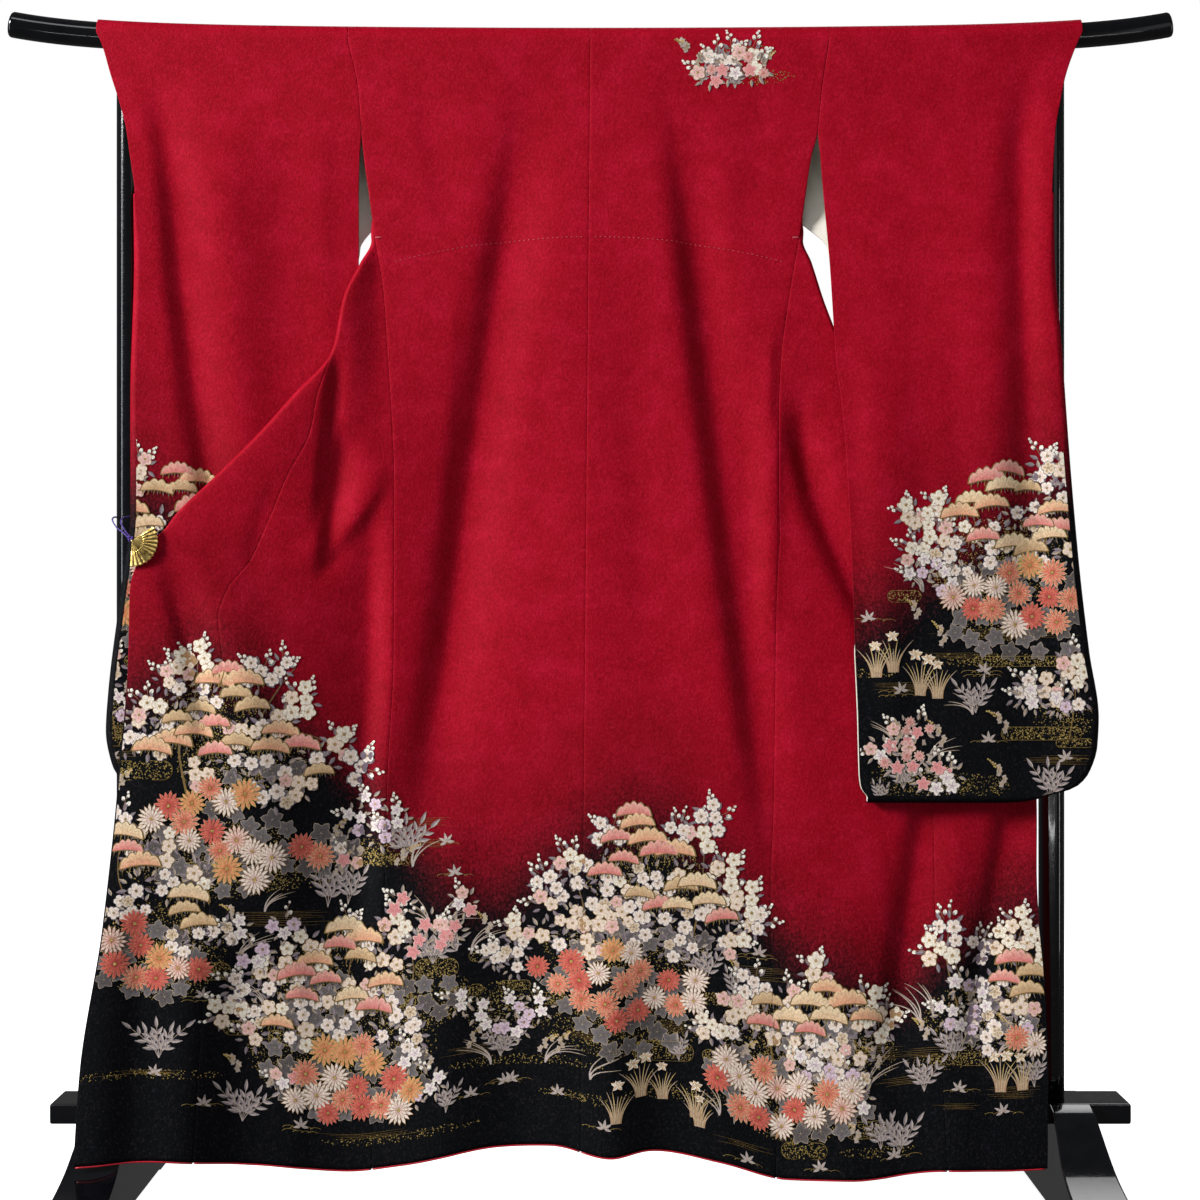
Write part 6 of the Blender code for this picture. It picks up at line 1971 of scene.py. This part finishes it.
def gilt_brass():
    """Brass under thin gilding: one noise moves its colour and its roughness together, as wear does."""
    material, tree, shader, place = new_material("Gilt brass", {"Metallic": 1.0, "Specular IOR Level": 0.5})
    wear = noise(tree, place, 160.0, 4.0, 0.6)
    colour = ramp(tree, wear, [(0.30, paint(176, 138, 70)), (0.55, paint(224, 192, 116)),
                               (0.80, paint(240, 216, 150))])
    rough = ramp(tree, wear, [(0.35, grey(0.24)), (0.7, grey(0.40))])
    dress(tree, shader, colour, wear, 0.2, 0.0003, rough)
    return material


def bead(share, at, height, half):
    """A raised line on the fan: height exp(-((share - at) / half)^2)."""
    return height * np.exp(-((share - at) / half) ** 2)


gilt = gilt_brass()
turn = np.linspace(0, 1, FAN_RIBS * 8 + 1)[None, :]
share = np.sort(np.concatenate([np.linspace(0, 1, 26), [0.38, 0.40, 0.42, 0.44]]))[:, None]
zigzag = 2 * np.abs(2 * ((turn * FAN_RIBS) % 1) - 1) - 1
scallop = 1 - 0.035 * np.abs(np.cos(np.pi * turn * FAN_RIBS)) * share**6
radius = FAN_HUB + (FAN_RADIUS - FAN_HUB) * share * scallop
angle = np.radians(FAN_ANGLES[0] + (FAN_ANGLES[1] - FAN_ANGLES[0]) * turn)
raised = bead(share, 0.41, 0.0005, 0.018) + bead(share, 0.97, 0.0003, 0.02)
depth = FAN_DEPTH + FAN_PLEAT * zigzag * share - raised
fan_points = stacked(FAN_PIVOT[0] + radius * np.cos(angle), depth, FAN_PIVOT[1] + radius * np.sin(angle))
fan = add_mesh("gilt_fan", fan_points, grid_faces(*fan_points.shape[:2])[:, ::-1], [gilt])
fan.data.set_sharp_from_angle(angle=math.radians(24))
fan_wall = fan.modifiers.new("Plate", "SOLIDIFY")
fan_wall.thickness = FAN_THICKNESS
fan_wall.offset = 0.0
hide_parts("fan_clip")

dome = np.linspace(0, np.pi / 2, 7)
rivet_y = FAN_DEPTH + np.concatenate([[0.0012, 0.0008], -0.0016 * np.sin(dome)])
rivet_radius = RIVET_RADIUS * np.concatenate([[1.0, 1.0], np.cos(dome) + 0.01])
rivet_path = stacked(FAN_PIVOT[0], rivet_y, FAN_PIVOT[1])
rivet = add_mesh("fan_rivet", *tube_parts(rings_along(rivet_path, rivet_radius, 20)), [gilt])
jaw = bpy.data.objects["clip_jaw"]
jaw.data.materials.clear()
jaw.data.materials.append(gilt)
print("fan", round(2 * FAN_RADIUS * 1000), "mm across if it were whole")

# %% [markdown]
# A sheet's seams are grooves in its own mesh, and its hem roll, its stitches and its painted flowers
# are kept in on_cloth under the name of the cloth they lie on.

# %% [markdown]
# The light is a broad one from the left and front, so each fold is bright on its left side and dark
# on its right. A weak one fills from the right, and tall narrow ones draw the bright lines on the
# lacquer. The floor glows a little, as a studio's white sweep does under its own lamps, so that it
# runs back without an edge into a pale room. It is hidden from diffuse and glossy rays, which keeps
# that glow off the cloth and the lacquer.

# %% Floor and light
def pale_floor():
    """A white sweep: a faint dust in its colour, and a glow of its own."""
    material, tree, shader, place = new_material("Pale floor", {
        "Specular IOR Level": 0.1, "Roughness": 0.8, "Emission Color": (1.0, 1.0, 1.0, 1.0),
        "Emission Strength": 0.92})
    dust = noise(tree, place, 3.0, 3.0, 0.5)
    colour = ramp(tree, dust, [(0.3, paint(238, 238, 238)), (0.7, paint(244, 244, 244))])
    tree.links.new(colour, shader.inputs["Base Color"])
    return material


def soft_light(name, place, target, size, power, colour=(1.0, 1.0, 1.0)):
    """A rectangular light at place that faces target."""
    data = bpy.data.lights.new(name, "AREA")
    data.shape = "RECTANGLE"
    data.size, data.size_y = size
    data.energy = power
    data.color = colour
    light = bpy.data.objects.new(name, data)
    light.rotation_euler = (Vector(target) - Vector(place)).to_track_quat("-Z", "Y").to_euler()
    light.location = place
    bpy.context.scene.collection.objects.link(light)


floor_line = np.linspace(-9, 9, 13)
floor_points = stacked(floor_line[None, :], floor_line[:, None], -0.0005)
floor = add_mesh("pale_floor", floor_points, grid_faces(13, 13), [pale_floor()])
floor.visible_diffuse = False
floor.visible_glossy = False

soft_light("key", (-7.2, -3.8, 4.2), (0.0, 0.0, 0.95), (2.2, 2.4), 1080.0, (1.0, 0.985, 0.96))
soft_light("fill", (2.6, -3.8, 1.2), (0.0, 0.0, 0.8), (2.0, 2.2), 5.0, (0.95, 0.97, 1.0))
soft_light("top", (-0.6, -1.6, 3.4), (0.0, 0.0, 1.0), (2.6, 0.5), 12.0)
soft_light("left_edge", (-2.4, -0.9, 1.1), (-0.66, 0.0, 0.9), (0.14, 1.8), 9.0, (0.92, 0.96, 1.0))
soft_light("right_edge", (2.4, -0.7, 0.9), (0.66, 0.0, 0.8), (0.10, 1.6), 4.0)
soft_light("low_strip", (0.0, -2.5, 0.30), (0.0, 0.0, 1.62), (3.2, 0.03), 4.0)
soft_light("upper_strip", (0.0, -2.5, 0.48), (0.0, 0.0, 1.62), (3.2, 0.02), 2.5)
soft_light("back", (0.5, 2.4, 2.4), (0.0, 0.0, 0.9), (2.4, 2.4), 40.0)

world = bpy.data.worlds.new("Pale room")
world.use_nodes = True
room = world.node_tree.nodes["Background"]
room.inputs["Color"].default_value = (1.0, 1.0, 1.0, 1.0)
seen = add_node(world.node_tree, "LightPath").outputs["Is Camera Ray"]
strength = add_node(world.node_tree, "MapRange", {"Value": seen, "To Min": 0.07, "To Max": 1.0})
world.node_tree.links.new(strength.outputs["Result"], room.inputs["Strength"])
bpy.context.scene.world = world
bpy.context.scene.view_settings.view_transform = "Standard"
bpy.context.scene.view_settings.look = "None"
print("lit")
